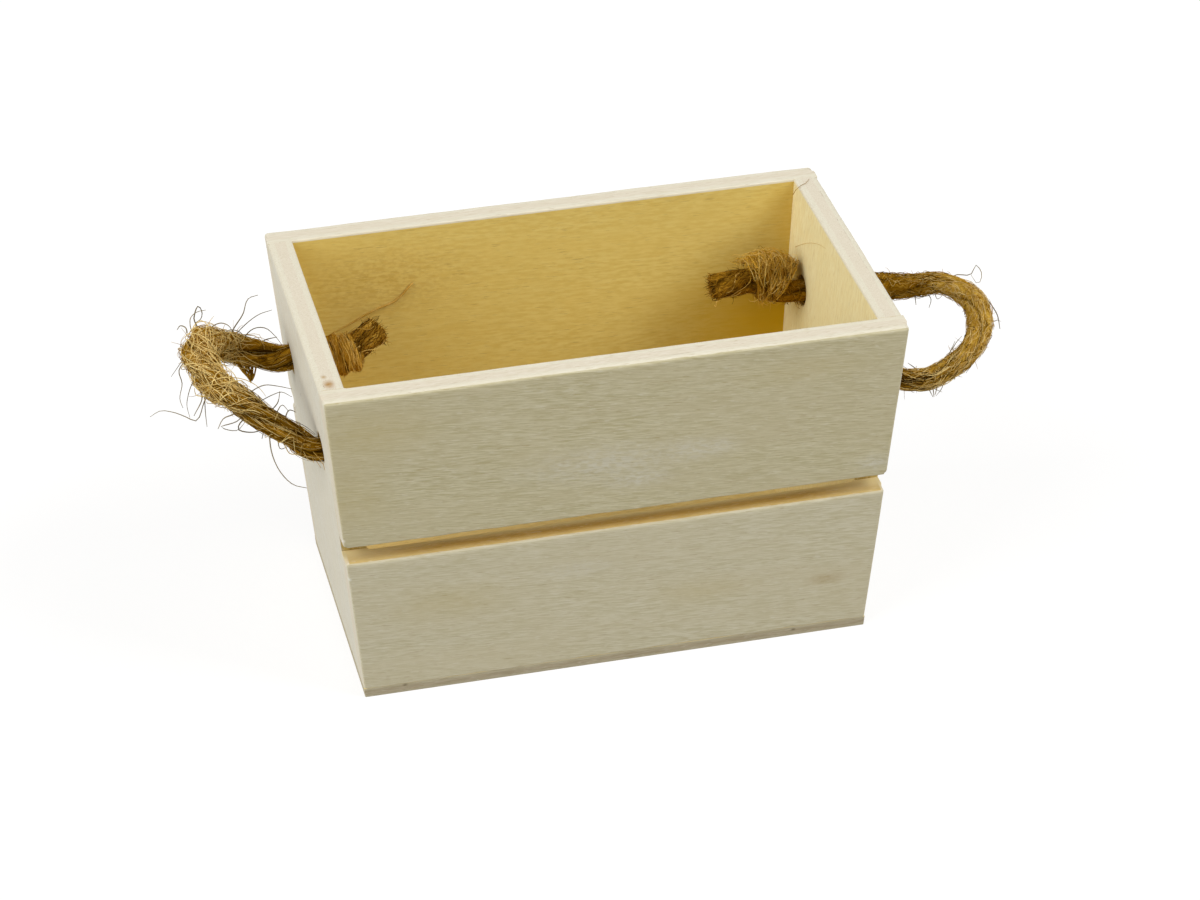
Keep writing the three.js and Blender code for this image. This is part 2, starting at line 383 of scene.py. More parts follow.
level_ply = WALL_PLY / math.cos(WALL_LEAN)
wall_foot = base_high.z + SEAM_ARRIS


def draw_to_holes(along, up):
    """Draws a face's grid to two round holes: lines on the square block about a hole go to its circle, and
    lines further off move less, until they stay in place at the holes' reach."""
    for hole in HOLES:
        off = np.stack([along - hole, up - HOLE_HEIGHT], -1)
        square = np.abs(off).max(-1, keepdims=True)
        circle = (HOLE_RADIUS + HOLE_EASE) * unit(off)
        share = np.clip((square - HOLE_BLOCK) / (HOLE_REACH - HOLE_BLOCK), 0, 1)
        off = np.where(square < HOLE_REACH, circle * (1 - share) + off * share, off)
        along, up = off[..., 0] + hole, off[..., 1] + HOLE_HEIGHT
    return along, up


def hole_wall(hole):
    """The wall of a drilled hole: the square block's outline drawn to a circle, carried through the board
    along a profile whose two ends are eased out to the faces. Points are along, across and up."""
    run = np.linspace(-HOLE_BLOCK, HOLE_BLOCK, HOLE_CELLS + 1)[:-1]
    still = np.full(HOLE_CELLS, HOLE_BLOCK)
    sides = ((run, -still), (still, run), (-run, still), (-still, -run))
    outline = np.concatenate([np.stack(side, -1) for side in sides])
    outline = np.concatenate([outline, outline[:1]])
    circle = unit(outline)
    turn = np.linspace(0, np.pi / 2, EASE_STEPS)
    ease = HOLE_EASE * np.stack([1 - np.sin(turn), 1 - np.cos(turn)], -1)
    bore = np.linspace(HOLE_EASE, WALL_PLY - HOLE_EASE, BORE_STEPS + 1)[1:-1]
    far_ease = np.stack([ease[::-1, 0], WALL_PLY - ease[::-1, 1]], -1)
    profile = np.concatenate([ease, np.stack([np.zeros(len(bore)), bore], -1), far_ease])
    radius = HOLE_RADIUS + profile[:, None, 0]
    along = hole + radius * circle[:, 0]
    up = HOLE_HEIGHT + radius * circle[:, 1]
    across = np.broadcast_to(profile[:, None, 1], along.shape)
    return np.stack([along, across, up], -1)


def panel_lines(half, middle):
    """Grid lines of an end panel: about a hole a block of close ones, and rings out to its reach."""
    block = np.linspace(-HOLE_BLOCK, HOLE_BLOCK, HOLE_CELLS + 1)
    ring = HOLE_BLOCK + (HOLE_REACH - HOLE_BLOCK) * HOLE_RINGS
    about = np.concatenate([-ring, block, ring])
    lines = [board_lines(half[0], BOARD_STEP, SEAM_ARRIS),
             board_lines(half[1], BOARD_STEP / 3, RIM_ARRIS),
             board_lines(half[2], BOARD_STEP, RIM_ARRIS)]
    for axis, places in ((0, HOLES), (2, (HOLE_HEIGHT - middle,))):
        for place in places:
            kept = lines[axis][np.abs(lines[axis] - place) > HOLE_REACH + BOARD_STEP / 2]
            lines[axis] = np.unique(np.concatenate([kept, place + about]))
    return lines


def end_board(name, side, finish, seed):
    """One end panel. A box grid of along, across and up has its rim eased, its faces drawn to the holes and
    opened there, and is then laid on the leaning end: across runs in from the outer face, along fills the
    width between the long sides, and up is height, squared to the lean near the holes."""
    middle = (rim_high.z + wall_foot) / 2
    inner_width = half_width(HOLE_HEIGHT) - level_ply - SEAM_ARRIS
    half = np.array([inner_width, WALL_PLY / 2, (rim_high.z - wall_foot) / 2])
    points, quads = board_sides(panel_lines(half, middle))
    on_face = np.abs(np.abs(points[:, 1]) - half[1]) < 1e-9
    centre = points[quads].mean(axis=1)
    inside = np.zeros(len(quads), bool)
    for hole in HOLES:
        off = np.stack([centre[:, 0] - hole, centre[:, 2] + middle - HOLE_HEIGHT], -1)
        inside |= (np.abs(off).max(axis=1) < HOLE_BLOCK) & on_face[quads].all(axis=1)
    across = points[:, 1] + half[1]
    radius = np.where(across < half[1], RIM_ARRIS, INNER_ARRIS)
    radius = radius * (1 + ARRIS_WANDER * wander(seed, points[:, 0], PANEL_ARRIS_WAVE))
    radius = np.where(points[:, 2] < 0, SEAM_ARRIS, radius)
    eased = ease_arrises(points, half, radius[:, None] * np.array([0, 1, 1]))
    along, up = draw_to_holes(eased[:, 0], eased[:, 2] + middle)
    along = np.where(on_face, along, eased[:, 0])
    up = np.where(on_face, up, eased[:, 2] + middle)
    sheets = [np.stack([along, eased[:, 1] + half[1], up], -1)]
    on_rim = points[:, 2] > half[2] - RIM_DEPTH
    shares = [np.where(on_rim, np.clip(across / WALL_PLY, *RIM_SHARES), across / WALL_PLY)]
    sawn = [(np.abs(np.abs(points[:, 0]) - half[0]) < 1e-9).astype(float)]
    faces = [quads[~inside]]
    for hole in HOLES:
        wall = hole_wall(hole)
        count = wall.shape[0] * wall.shape[1]
        faces.append(grid_quads(*wall.shape[:2], sum(len(sheet) for sheet in sheets)))
        sheets.append(wall.reshape(-1, 3))
        shares.append(np.full(count, BORE_SHARE))
        sawn.append(np.ones(count))
    used, faces = np.unique(np.concatenate(faces), return_inverse=True)
    along, across, up = np.concatenate(sheets)[used].T
    ripple = FACE_RIPPLE * wander(seed + 1, along + PANEL_RIPPLE_SLANT * up, PANEL_RIPPLE_WAVE)
    squared = np.clip((np.abs(up - HOLE_HEIGHT) - HOLE_REACH) / HOLE_REACH, 0, 1)
    height = up + across * math.sin(WALL_LEAN) * (1 - squared)
    thick = level_ply * squared + WALL_PLY * math.cos(WALL_LEAN) * (1 - squared)
    x = side * (half_length(up) - across * thick / WALL_PLY + ripple)
    y = along * (half_width(height) - level_ply - SEAM_ARRIS) / inner_width
    board = new_piece(name, np.stack([x, y, height], -1), faces.reshape(-1, 4).tolist(), finish, True,
                      across=np.concatenate(shares)[used], raw=np.concatenate(sawn)[used])
    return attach(board, "box")


for place, facts in END_PANELS.items():
    end_finish = bare_plywood(place + "_plywood", "Z", END_FACE, facts["inside"], EDGE_PLY, CORE_PLY,
                              END_SAWN, facts["shift"], facts["glue_show"], facts["marks"])
    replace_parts(end_board(place + "_board", facts["side"], end_finish, facts["seed"]), place + "_panel")


# Long-side slats
# Two slats of 6 mm three-ply to each long side, with a gap between them and the grain running level. They
# are glued over the upright sides of the end panels, and their outer arrises are sanded round with the rim.
SLAT_STEP = 0.0028
STEP_ARRIS = 0.0012
GAP_ARRIS = 0.7 * INNER_ARRIS
SLAT_ARRIS_WAVE = 0.06
SLAT_ARRIS_SLANT = 0.3
SLAT_RIPPLE_WAVE = 0.02
SLAT_RIPPLE_SLANT = 0.15
SAWN_RAGGED = 0.00012
RAGGED_WAVE = 0.03
JOINT_LINES = 0.0004
JOINT_MARGIN = 0.0001
UPPER_FACE = ("#e3dbba", "#c9bf94", "#d8cda8")
LOWER_FACE = ("#e8e1c6", "#d4cba6", "#dfd5b4")
SLAT_INSIDE = ("#ecd581", "#e0c369", "#e6ca71")
SCUFF = "#ebe8dc"
YELLOWED = "#d0c08a"
CHIPPED = "#fbf8ee"
# The colour of painted light on the lower slat's sawn top.
CUT_PAINTED_LIGHT = "#f2e0a8"
UPPER_MARKS = [
    ((-0.0040, -0.0403, 0.0605), (0.030, 0.002, 0.0085), SCUFF, 0.45, 0.9),
    ((0.0050, -0.0398, 0.0545), (0.013, 0.002, 0.0040), SCUFF, 0.5, 0.9),
    ((0.0200, -0.0403, 0.0610), (0.015, 0.002, 0.0050), SCUFF, 0.45, 0.9),
    ((0.0630, -0.0394, 0.0498), (0.006, 0.002, 0.0035), SCUFF, 0.55, 0.9),
    ((-0.0600, -0.0415, 0.0780), (0.024, 0.003, 0.0120), YELLOWED, 0.5, 0.4),
    ((-0.0640, -0.0406, 0.0600), (0.013, 0.003, 0.0160), YELLOWED, 0.45, 0.4),
    ((0.0450, -0.0415, 0.0800), (0.026, 0.003, 0.0060), YELLOWED, 0.35, 0.4),
    ((-0.0668, -0.0391, 0.0480), (0.0011, 0.002, 0.0008), CHIPPED, 0.9, 0.4),
]
LOWER_MARKS = [
    ((0.0526, -0.0366, 0.0164), (0.0075, 0.002, 0.0028), "#b4975c", 0.42, 0.4),
    ((-0.0417, -0.0374, 0.0257), (0.022, 0.002, 0.0090), YELLOWED, 0.4, 0.4),
    ((0.0206, -0.0367, 0.0179), (0.018, 0.002, 0.0060), YELLOWED, 0.35, 0.4),
    ((-0.0100, -0.0380, 0.0300), (0.016, 0.002, 0.0040), SCUFF, 0.3, 0.9),
    ((-0.0655, -0.0383, 0.0365), (0.0010, 0.002, 0.0007), CHIPPED, 0.9, 0.4),
    # Painted light along the back of the lower slat's sawn top, where the upper slat shades it.
    ((0, -0.0334, 0.0412), (0.160, 0.0026, 0.0016), "#fff0b4", 0.9, 0.0),
    ((0, -0.0372, 0.0412), (0.160, 0.0022, 0.0010), "#b48c40", 0.5, 0.0),
    # Painted light at both ends of that sawn top, where the gap is shaded.
    ((0.0640, -0.0345, 0.0412), (0.020, 0.005, 0.0014), CUT_PAINTED_LIGHT, 0.9, 0.0),
    ((-0.0630, -0.0345, 0.0412), (0.022, 0.005, 0.0014), CUT_PAINTED_LIGHT, 0.8, 0.0),
]
# Painted shade on the inside of the back upper slat: a deep golden patch low on the right under the right
# back knot and the corner, a darker gold band up the right corner, and darker gold broken into chips towards
# the left corner.
BACK_PAINTED_SHADE = [
    ((0.0600, 0.0335, 0.0500), (0.042, 0.007, 0.0300), "#d0a600", 0.95, 0.0),
    ((0.0640, 0.0360, 0.0740), (0.014, 0.006, 0.0240), "#cfa73c", 0.5, 0.0),
    ((-0.0420, 0.0360, 0.0740), (0.034, 0.006, 0.0160), "#c39c46", 0.45, 1.0),
]
# The grain of each slat is turned a little from level, by an angle in degrees.
SLATS = {
    "front_upper": {"side": -1, "face": UPPER_FACE, "shift": (0.83, 0.15, 0.36), "marks": UPPER_MARKS,
                    "turn": -5.2, "seed": 31},
    "front_lower": {"side": -1, "face": LOWER_FACE, "shift": (0.22, 0.71, 0.94), "marks": LOWER_MARKS,
                    "turn": -4.2, "seed": 37},
    "back_upper": {"side": 1, "face": UPPER_FACE, "shift": (0.47, 0.58, 0.12), "marks": BACK_PAINTED_SHADE,
                   "turn": -2.5, "seed": 41},
    "back_lower": {"side": 1, "face": LOWER_FACE, "shift": (0.95, 0.33, 0.68), "marks": (),
                   "turn": 0, "seed": 43},
}


def slat_board(name, node, side, finish, seed):
    """One slat. A box grid of along, across and up has its arrises eased by a radius that wanders along it,
    large outside and small inside, and is laid on the leaning side: along runs out to the end faces at
    each height, and across runs in from the outer face. A lower slat stands on the base panel."""
    low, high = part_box(node)
    stands = high.z < rim_low.z
    foot = wall_foot if stands else low.z
    middle = (high.z + foot) / 2
    half = np.array([half_length(middle), WALL_PLY / 2, (high.z - foot) / 2])
    joint = half[0] - WALL_PLY
    joints = (-joint, JOINT_LINES - joint, joint - JOINT_LINES, joint)
    lines = [board_lines(half[0], SLAT_STEP, RIM_ARRIS, joints),
             board_lines(half[1], SLAT_STEP / 4, RIM_ARRIS),
             board_lines(half[2], SLAT_STEP, RIM_ARRIS)]
    points, quads = board_sides(lines)
    across = points[:, 1] + half[1]
    outer = across < half[1]
    under = points[:, 2] < 0
    end = np.abs(points[:, 0]) > half[0] - RIM_ARRIS
    glued = np.abs(points[:, 0]) > joint - JOINT_MARGIN
    radius = np.where(outer, RIM_ARRIS, np.where(glued, SEAM_ARRIS, INNER_ARRIS))
    radius = np.where(under & ~end, GAP_ARRIS, radius)
    stepped = (points[:, 2] > 0) & ~end & ~(glued & ~outer) & stands
    radius = np.where(stepped, STEP_ARRIS, radius)
    slanted = points[:, 0] + SLAT_ARRIS_SLANT * points[:, 2]
    radius = radius * (1 + ARRIS_WANDER * wander(seed, slanted, SLAT_ARRIS_WAVE))
    all_round = np.ones((len(points), 3))
    all_round[:, 2] = np.where(under & stands, 0, 1)
    eased = ease_arrises(points, half, radius[:, None] * all_round)
    up = eased[:, 2] + middle
    ripple = FACE_RIPPLE * wander(seed + 1, up + SLAT_RIPPLE_SLANT * eased[:, 0], SLAT_RIPPLE_WAVE)
    ragged = SAWN_RAGGED * wander(seed + 2, eased[:, 0], RAGGED_WAVE) * (points[:, 2] < RIM_ARRIS - half[2])
    x = eased[:, 0] / half[0] * half_length(up)
    y = side * (half_width(up) - (eased[:, 1] + half[1]) * level_ply / WALL_PLY + ripple)
    off_rim = np.abs(points[:, 2] + middle - rim_high.z) > RIM_ARRIS
    sawn = (np.abs(points[:, 2]) > half[2] - 1e-9) & ~end & off_rim & ~(under & stands)
    share = across / WALL_PLY
    share = np.where((points[:, 2] > half[2] - RIM_DEPTH) & ~outer, np.minimum(share, RIM_SHARES[1]), share)
    board = new_piece(name, np.stack([x, y, up + ragged], -1), quads.tolist(), finish, True, across=share,
                      raw=sawn.astype(float))
    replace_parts(board, node)
    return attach(board, "box")


for place, facts in SLATS.items():
    slat_finish = bare_plywood(place + "_plywood", "X", facts["face"], SLAT_INSIDE, EDGE_PLY, CORE_PLY, SAWN,
                               facts["shift"], marks=facts["marks"], marks_inside=place == "back_upper",
                               turn=math.radians(facts["turn"]))
    slat_board(place + "_board", place + "_slat", facts["side"], slat_finish, facts["seed"])


# Rope loops
# A length of coarse jute rope to each end, three strands laid up left-handed. It comes out of one hole of
# the end panel, stands out stiffly in a loop and goes back in at the other, held only by its knots inside.
ROPE_DIAMETER = 0.0065
ROPE_LAY = 0.052
ROPE_STEP = 0.0005
CURVE_STEPS = 40
STRANDS = 3
STRAND_SIDES = 36
STRAND_OFFSET = 0.41
STRAND_SHARE = 0.59
OPEN_OFFSET = 0.10
OPEN_SHARE = -0.07
STRAND_SWELL = 0.05
SWELL_SEED = 3
LINE_SEEDS = 7
SWELL_WAVE = 0.012
YARN_TWIST = 140
YARN_WANDER = 2
YARN_WAVE = 0.02
YARN_CELL = 0.002
STRAND_SHIFT = 9
# Yarn ridges: how high they are as a share of the strand, how many go round it, and their drift along it.
YARN_RIDGES = ((0.045, 5, 0), (0.04, 9, 300), (0.035, 15, -200))
FINE_YARN = (0.09, 0.09, 2.0)
COARSE_YARN = (0.35, 0.35, 2.5)
JUTE_CLOUD = (0.004, 0.004, 0.004)
YARN_RELIEF = 0.0002
KNOT_OVERLAP = 0.003
FIRST_TURN = 0.6
# A route's points are out of the panel, along it and up it from the middle of its holes. A rope's thickness,
# how far its strands have opened and how pale it is worn are each given by shares of its length. The left
# one is swollen and worn where it bends, and the right one is thin in front.
ROPES = {
    "left": {
        "side": -1,
        "seed": 51,
        "slack": 0.0018,
        "route": [
            (0, 0.0215, -0.0004), (0.0018, 0.0212, 0.0001), (0.00355, 0.0203, 0.0009),
            (0.0060, 0.0188, 0.0027), (0.0104, 0.0152, 0.0058), (0.0151, 0.0104, 0.0085),
            (0.0193, 0.0048, 0.0106), (0.0221, -0.0014, 0.0123), (0.0232, -0.0082, 0.0131),
            (0.0218, -0.0146, 0.0128), (0.0187, -0.0193, 0.0099), (0.0141, -0.0220, 0.0063),
            (0.0082, -0.0222, 0.0024), (0.00355, -0.0220, 0.0004), (0, -0.0217, 0.0003),
        ],
        "swell": ((0, 0.14, 0.22, 0.34, 0.45, 0.55, 0.66, 0.76, 0.84, 0.90, 1),
                  (0.9, 0.84, 0.87, 0.95, 1.06, 1.12, 1.12, 1.10, 1.06, 1.0, 1)),
        "opened": ((0, 0.3, 0.45, 0.7, 0.8, 1), (0.6, 0.8, 0, 0, 1.4, 1.4)),
        "worn": ((0, 0.3, 0.42, 0.68, 0.76, 1), (0.2, 0.3, 0.6, 0.6, 0.3, 0.3)),
    },
    "right": {
        "side": 1,
        "seed": 53,
        "slack": 0.0036,
        "route": [
            (0, -0.0215, 0), (0.00355, -0.0218, 0), (0.0080, -0.0220, -0.0016),
            (0.0141, -0.0214, -0.0025), (0.0198, -0.0192, -0.0016), (0.0247, -0.0157, -0.0002),
            (0.0287, -0.0116, 0.0014), (0.0316, -0.0065, 0.0028), (0.0331, -0.0006, 0.0041),
            (0.0330, 0.0053, 0.0044), (0.0309, 0.0107, 0.0041), (0.0273, 0.0152, 0.0034),
            (0.0220, 0.0182, 0.0017), (0.0151, 0.0202, 0.0003), (0.0088, 0.0212, -0.0001),
            (0.00355, 0.0214, 0), (0, 0.0215, 0),
        ],
        "swell": ((0, 0.12, 0.2, 0.28, 0.36, 0.44, 0.52, 0.58, 0.64, 0.7, 0.76, 0.86, 0.90, 0.945, 1),
                  (0.9, 0.77, 0.80, 0.81, 0.90, 0.97, 0.99, 0.92, 0.83, 0.94, 1.11, 1.16, 1.10, 0.90, 0.80)),
        "opened": ((0, 0.13, 0.24, 0.36, 0.8, 1), (0.9, 1.5, 1.2, -0.2, -0.4, 0.2)),
        "worn": ((0, 0.2, 0.3, 0.62, 0.72, 1), (0.4, 0.5, 0.95, 0.9, 0.35, 0.2)),
    },
}


def handle_directions(side):
    """The way out of an end panel, along it and up it, as the rows of a matrix, and its holes' middle."""
    out = np.array([side * math.cos(WALL_LEAN), 0, -math.sin(WALL_LEAN)])
    up = np.array([side * math.sin(WALL_LEAN), 0, math.cos(WALL_LEAN)])
    along = np.array([0, side, 0])
    return np.array([out, along, up]), np.array([side * half_length(HOLE_HEIGHT), 0, HOLE_HEIGHT])


def gone_along(points):
    """How far along a path of straight steps each of its points is."""
    return np.concatenate([[0], np.cumsum(np.linalg.norm(np.diff(points, axis=0), axis=1))])


def smooth_path(points, step):
    """Even steps along a curve through the points. Each span is a cubic whose slope at a point comes from
    the points on both sides of it."""
    points = np.asarray(points, float)
    at = gone_along(points)
    slope = np.gradient(points, at, axis=0)
    fine = np.linspace(0, at[-1], CURVE_STEPS * len(points))
    span = np.clip(np.searchsorted(at, fine, side="right") - 1, 0, len(at) - 2)
    width = (at[span + 1] - at[span])[:, None]
    t = (fine - at[span])[:, None] / width
    curve = ((2 * t**3 - 3 * t**2 + 1) * points[span] + (t**3 - 2 * t**2 + t) * width * slope[span]
             + (3 * t**2 - 2 * t**3) * points[span + 1] + (t**3 - t**2) * width * slope[span + 1])
    gone = gone_along(curve)
    places = np.linspace(0, gone[-1], round(gone[-1] / step) + 1)
    return np.stack([np.interp(places, gone, values) for values in curve.T], -1)


def path_sides(path, up):
    """Two directions square to a path at each point: level with the up direction, and over that one."""
    ahead = unit(np.gradient(path, axis=-2))
    beside = unit(np.cross(ahead, up))
    return beside, np.cross(beside, ahead)


def rope_line(path, up, radius, opened, worn, lay=ROPE_LAY):
    """A rope's middle line and what its strands and fibres need at each step: the directions beside and over
    it, the run from its start, its radius, how far out its strands lie and how thick they are as shares of
    that, how worn it is, and the angle of its first strand, which turns once in each lay."""
    beside, over = path_sides(path, up)
    run = ROPE_STEP * np.arange(len(path))
    return {"path": path, "beside": beside, "over": over, "run": run, "radius": radius,
            "offset": STRAND_OFFSET + OPEN_OFFSET * opened, "share": STRAND_SHARE + OPEN_SHARE * opened,
            "worn": worn, "angle": 2 * np.pi * run / lay + FIRST_TURN}


def laid_strands(line, seed):
    """Three strands laid about a rope's middle line. A strand's middle winds about the line at its offset,
    and its section is a circle of its share of the radius, ruffled by yarn ridges that run along it against
    the lay. Returns points as strand, ring and side, with each one's place on the yarn and its depth."""
    chance = np.random.default_rng(seed)
    run = line["run"][:, None]
    radius = line["radius"][:, None]
    strand = np.arange(STRANDS)[:, None]
    angle = (line["angle"] + 2 * np.pi * strand / STRANDS)[..., None]
    outward = np.cos(angle) * line["beside"] + np.sin(angle) * line["over"]
    sideways = np.cos(angle) * line["over"] - np.sin(angle) * line["beside"]
    turn = np.linspace(0, 2 * np.pi, STRAND_SIDES, endpoint=False)
    yarn = turn + YARN_TWIST * run + YARN_WANDER * wander(seed, line["run"], YARN_WAVE)[:, None]
    phases = chance.uniform(*ANY_TURN, (len(YARN_RIDGES), STRANDS, 1, 1))
    ridge = sum(height * np.sin(count * yarn + phase + drift * run)
                for (height, count, drift), phase in zip(YARN_RIDGES, phases))
    swells = np.stack([wander(seed + SWELL_SEED + k, line["run"], SWELL_WAVE) for k in range(STRANDS)])
    section = line["share"][:, None] * radius * (1 + STRAND_SWELL * swells[..., None]) * (1 + ridge)
    middle = line["path"] + line["offset"][:, None] * radius * outward
    points = (middle[:, :, None] + (section * np.cos(turn))[..., None] * outward[:, :, None]
              + (section * np.sin(turn))[..., None] * sideways[:, :, None])
    along = run / YARN_CELL + STRAND_SHIFT * strand[..., None]
    place = np.stack(np.broadcast_arrays(np.cos(yarn)[None], np.sin(yarn)[None], along), -1)
    depth = np.linalg.norm(points - line["path"][:, None], axis=-1) / radius
    return points, place, depth


def tubes_piece(name, parts, finish):
    """One mesh of closed tubes, with quads round each tube and a cap on each end. A part is its points as
    tube, ring and side, and the named arrays that they keep."""
    faces = []
    count = 0
    for tubes, kept in parts:
        number = np.arange(tubes.size // 3).reshape(tubes.shape[:3]) + count
        turned = np.roll(number, -1, axis=2)
        quads = np.stack([number[:, :-1], turned[:, :-1], turned[:, 1:], number[:, 1:]], -1).reshape(-1, 4)
        faces += quads.tolist() + number[:, 0, ::-1].tolist() + number[:, -1].tolist()
        count += number.size
    points = np.concatenate([tubes.reshape(-1, 3) for tubes, kept in parts])
    whole = {key: np.concatenate([kept[key] for tubes, kept in parts]) for key in parts[0][1]}
    return new_piece(name, points, faces, finish, **whole)


def rope_piece(name, lines, seed, finish):
    """One mesh of the laid strands about each of the lines."""
    parts = []
    for number, line in enumerate(lines):
        strands, yarn, depth = laid_strands(line, seed + LINE_SEEDS * number)
        worn = np.broadcast_to(line["worn"][:, None], depth.shape)
        parts.append((strands, {"yarn": yarn.reshape(-1, 3), "depth": depth.ravel(), "worn": worn.ravel()}))
    return tubes_piece(name, parts, finish)


def jute(name, dark, middle, light):
    """Twisted jute. Noise drawn out along each strand's own turn and run goes from dark through middle to
    light, lighter where it is worn, and painted shade darkens it down in the grooves between the strands."""
    finish, tree, skin = new_finish(name, 0.0, 0.9)
    yarn = kept_value(tree, "yarn", "Vector")
    fine = mottle(yarn, FINE_YARN)
    coarse = mottle(yarn, COARSE_YARN, 2.0)
    cloud = mottle(add_node(tree, "TexCoord", {}, "Object"), JUTE_CLOUD, 2.0)
    slow = sums("MULTIPLY_ADD", coarse, 0.3, times(cloud, 0.2))
    figure = sums("MULTIPLY_ADD", fine, 0.5, slow)
    figure = sums("MULTIPLY_ADD", kept_value(tree, "worn"), 0.16, figure)
    colour = blended(rise(figure, 0.40, 0.58), tint(dark), tint(middle))
    colour = blended(rise(figure, 0.56, 0.70), colour, tint(light))
    # Painted shade: the colour goes towards the dark tone down in the grooves between the strands.
    groove_shade = rise(kept_value(tree, "depth"), 0.86, 0.62)
    colour = blended(times(groove_shade, 0.85), colour, tint(dark))
    tree.links.new(colour, skin.inputs["Base Color"])
    bump = add_node(tree, "Bump", {"Strength": 0.8, "Distance": YARN_RELIEF, "Height": fine}, "Normal")
    tree.links.new(bump, skin.inputs["Normal"])
    return finish


def loop_line(rope, directions, origin):
    """A whole rope's line in place: from inside one knot, through its hole, round the loop, through the other
    hole and into the other knot, with its radius, its strands' opening and its wear along its length."""
    route = rope["route"]
    inward = -WALL_PLY - rope["slack"] - KNOT_OVERLAP
    first, last = route[0][1], route[-1][1]
    whole = [(inward, first, 0), (inward / 2, first, 0)] + route + [(inward / 2, last, 0), (inward, last, 0)]
    path = smooth_path(np.array(whole) @ directions + origin, ROPE_STEP)
    share = np.linspace(0, 1, len(path))
    swell, opened, worn = (np.interp(share, *rope[key]) for key in ("swell", "opened", "worn"))
    return rope_line(path, directions[2], ROPE_DIAMETER / 2 * swell, opened, worn)


def bend(piece):
    """Bakes the piece's transform into its mesh."""
    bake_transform(piece)


jute_finish = jute("jute_strands", "#3a2200", "#a87612", "#dab04c")
handles = {}
for hand, rope in ROPES.items():
    turn, origin = handle_directions(rope["side"])
    line = loop_line(rope, turn, origin)
    strands = rope_piece(hand + "_rope_strands", [line], rope["seed"], jute_finish)
    handles[hand] = {"turn": turn, "origin": origin, "line": line, "strands": strands, "pieces": []}
    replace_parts(strands, hand + "_rope_loop")
    bend(strands)


# Rope knots
# The rope's own end behind each hole, tied in a tight overhand knot that is too big to pull through. Its
# turns wrap about the rope, and a short cut tail sticks on into the box.
KNOT_LENGTH = 0.0106
KNOT_BITE = 0.0005
CORE_DIAMETER = 0.0060
WRAP_DIAMETER = 0.0050
WRAP_TURNS = 2.1
WRAP_TUCK = 0.15
WRAP_TUCKED = 0.0008
WRAP_LAY = 0.022
WRAP_STEPS = 160
KNOT_OPEN = 0.4
KNOT_WORN = 0.15
NECK_NARROW = 0.22
NECK_POWER = 8
TAIL_FLARE = 0.14
WRAP_FLARE = -0.2
TAIL_BEND = 0.55
TAIL_SAG = np.array([0, 0.0004, 0.0003])
KNOT_SEED = 61
KNOT_SEEDS = 20
KNOTS = {
    "left_front_knot": {"hole": HOLES[1], "width": 0.0124, "offset": (-0.0006, -0.0008),
                        "tail": (0.0130, 0.0024, -0.0032)},
    "left_back_knot": {"hole": HOLES[0], "width": 0.0108, "offset": (0.0010, -0.0014),
                       "tail": (0.0094, -0.0034, 0.0026), "worn": 0.7},
    "right_front_knot": {"hole": HOLES[0], "width": 0.0124, "offset": (0.0010, 0.0008),
                         "tail": (0.0126, -0.0028, 0.0022)},
    "right_back_knot": {"hole": HOLES[1], "width": 0.0116, "offset": (0.0020, 0.0030),
                        "tail": (0.0142, -0.0012, -0.0016)},
}


def knot_lines(hand, hole, width, offset, tail, worn=KNOT_WORN):
    """The lines of a knot's core, from its face to the cut end of the tail, and of its wrap, a helix about
    the core whose radius sinks at both ends, where the turns tuck in."""
    directions, origin = handles[hand]["turn"], handles[hand]["origin"]
    face = -WALL_PLY - ROPES[hand]["slack"]
    middle = np.array([face - KNOT_LENGTH / 2, hole + offset[0], offset[1]])
    end = middle + np.array([-tail[0], tail[1], tail[2]])
    core = [(face + KNOT_BITE, hole, 0), middle, middle + TAIL_BEND * (end - middle) + TAIL_SAG, end]
    core_path = smooth_path(np.array(core) @ directions + origin, ROPE_STEP)
    t = np.linspace(0, 1, WRAP_STEPS)
    clear = np.clip(np.minimum(t, 1 - t) / WRAP_TUCK, 0, 1)
    radius = WRAP_TUCKED + ((width - WRAP_DIAMETER) / 2 - WRAP_TUCKED) * np.sin(clear * np.pi / 2)
    angle = 2 * np.pi * WRAP_TURNS * t
    helix = [(KNOT_LENGTH - WRAP_DIAMETER) * (0.5 - t), radius * np.cos(angle), radius * np.sin(angle)]
    wrap_path = smooth_path((np.stack(helix, -1) + middle) @ directions + origin, ROPE_STEP)
    lines = []
    for path, up, thick, lay, flare in ((core_path, directions[2], CORE_DIAMETER, ROPE_LAY, TAIL_FLARE),
                                        (wrap_path, directions[0], WRAP_DIAMETER, WRAP_LAY, WRAP_FLARE)):
        along = np.ones(len(path))
        share = np.linspace(0, 1, len(path))
        radius = thick / 2 * (1 + flare * share**2 - NECK_NARROW * (1 - share)**NECK_POWER)
        lines.append(rope_line(path, up, radius, KNOT_OPEN * along, worn * along, lay))
    return lines


knot_finish = jute("jute_knots", "#3c2400", "#a8781c", "#dcae4c")
knot_ropes = {}
for number, (node, facts) in enumerate(KNOTS.items()):
    hand = node.split("_")[0]
    knot_ropes[node] = knot_lines(hand, **facts)
    knot = rope_piece(node + "_strands", knot_ropes[node], KNOT_SEED + KNOT_SEEDS * number, knot_finish)
    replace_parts(knot, node)
    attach(knot, hand + "_rope")
    handles[hand]["pieces"].append(knot)


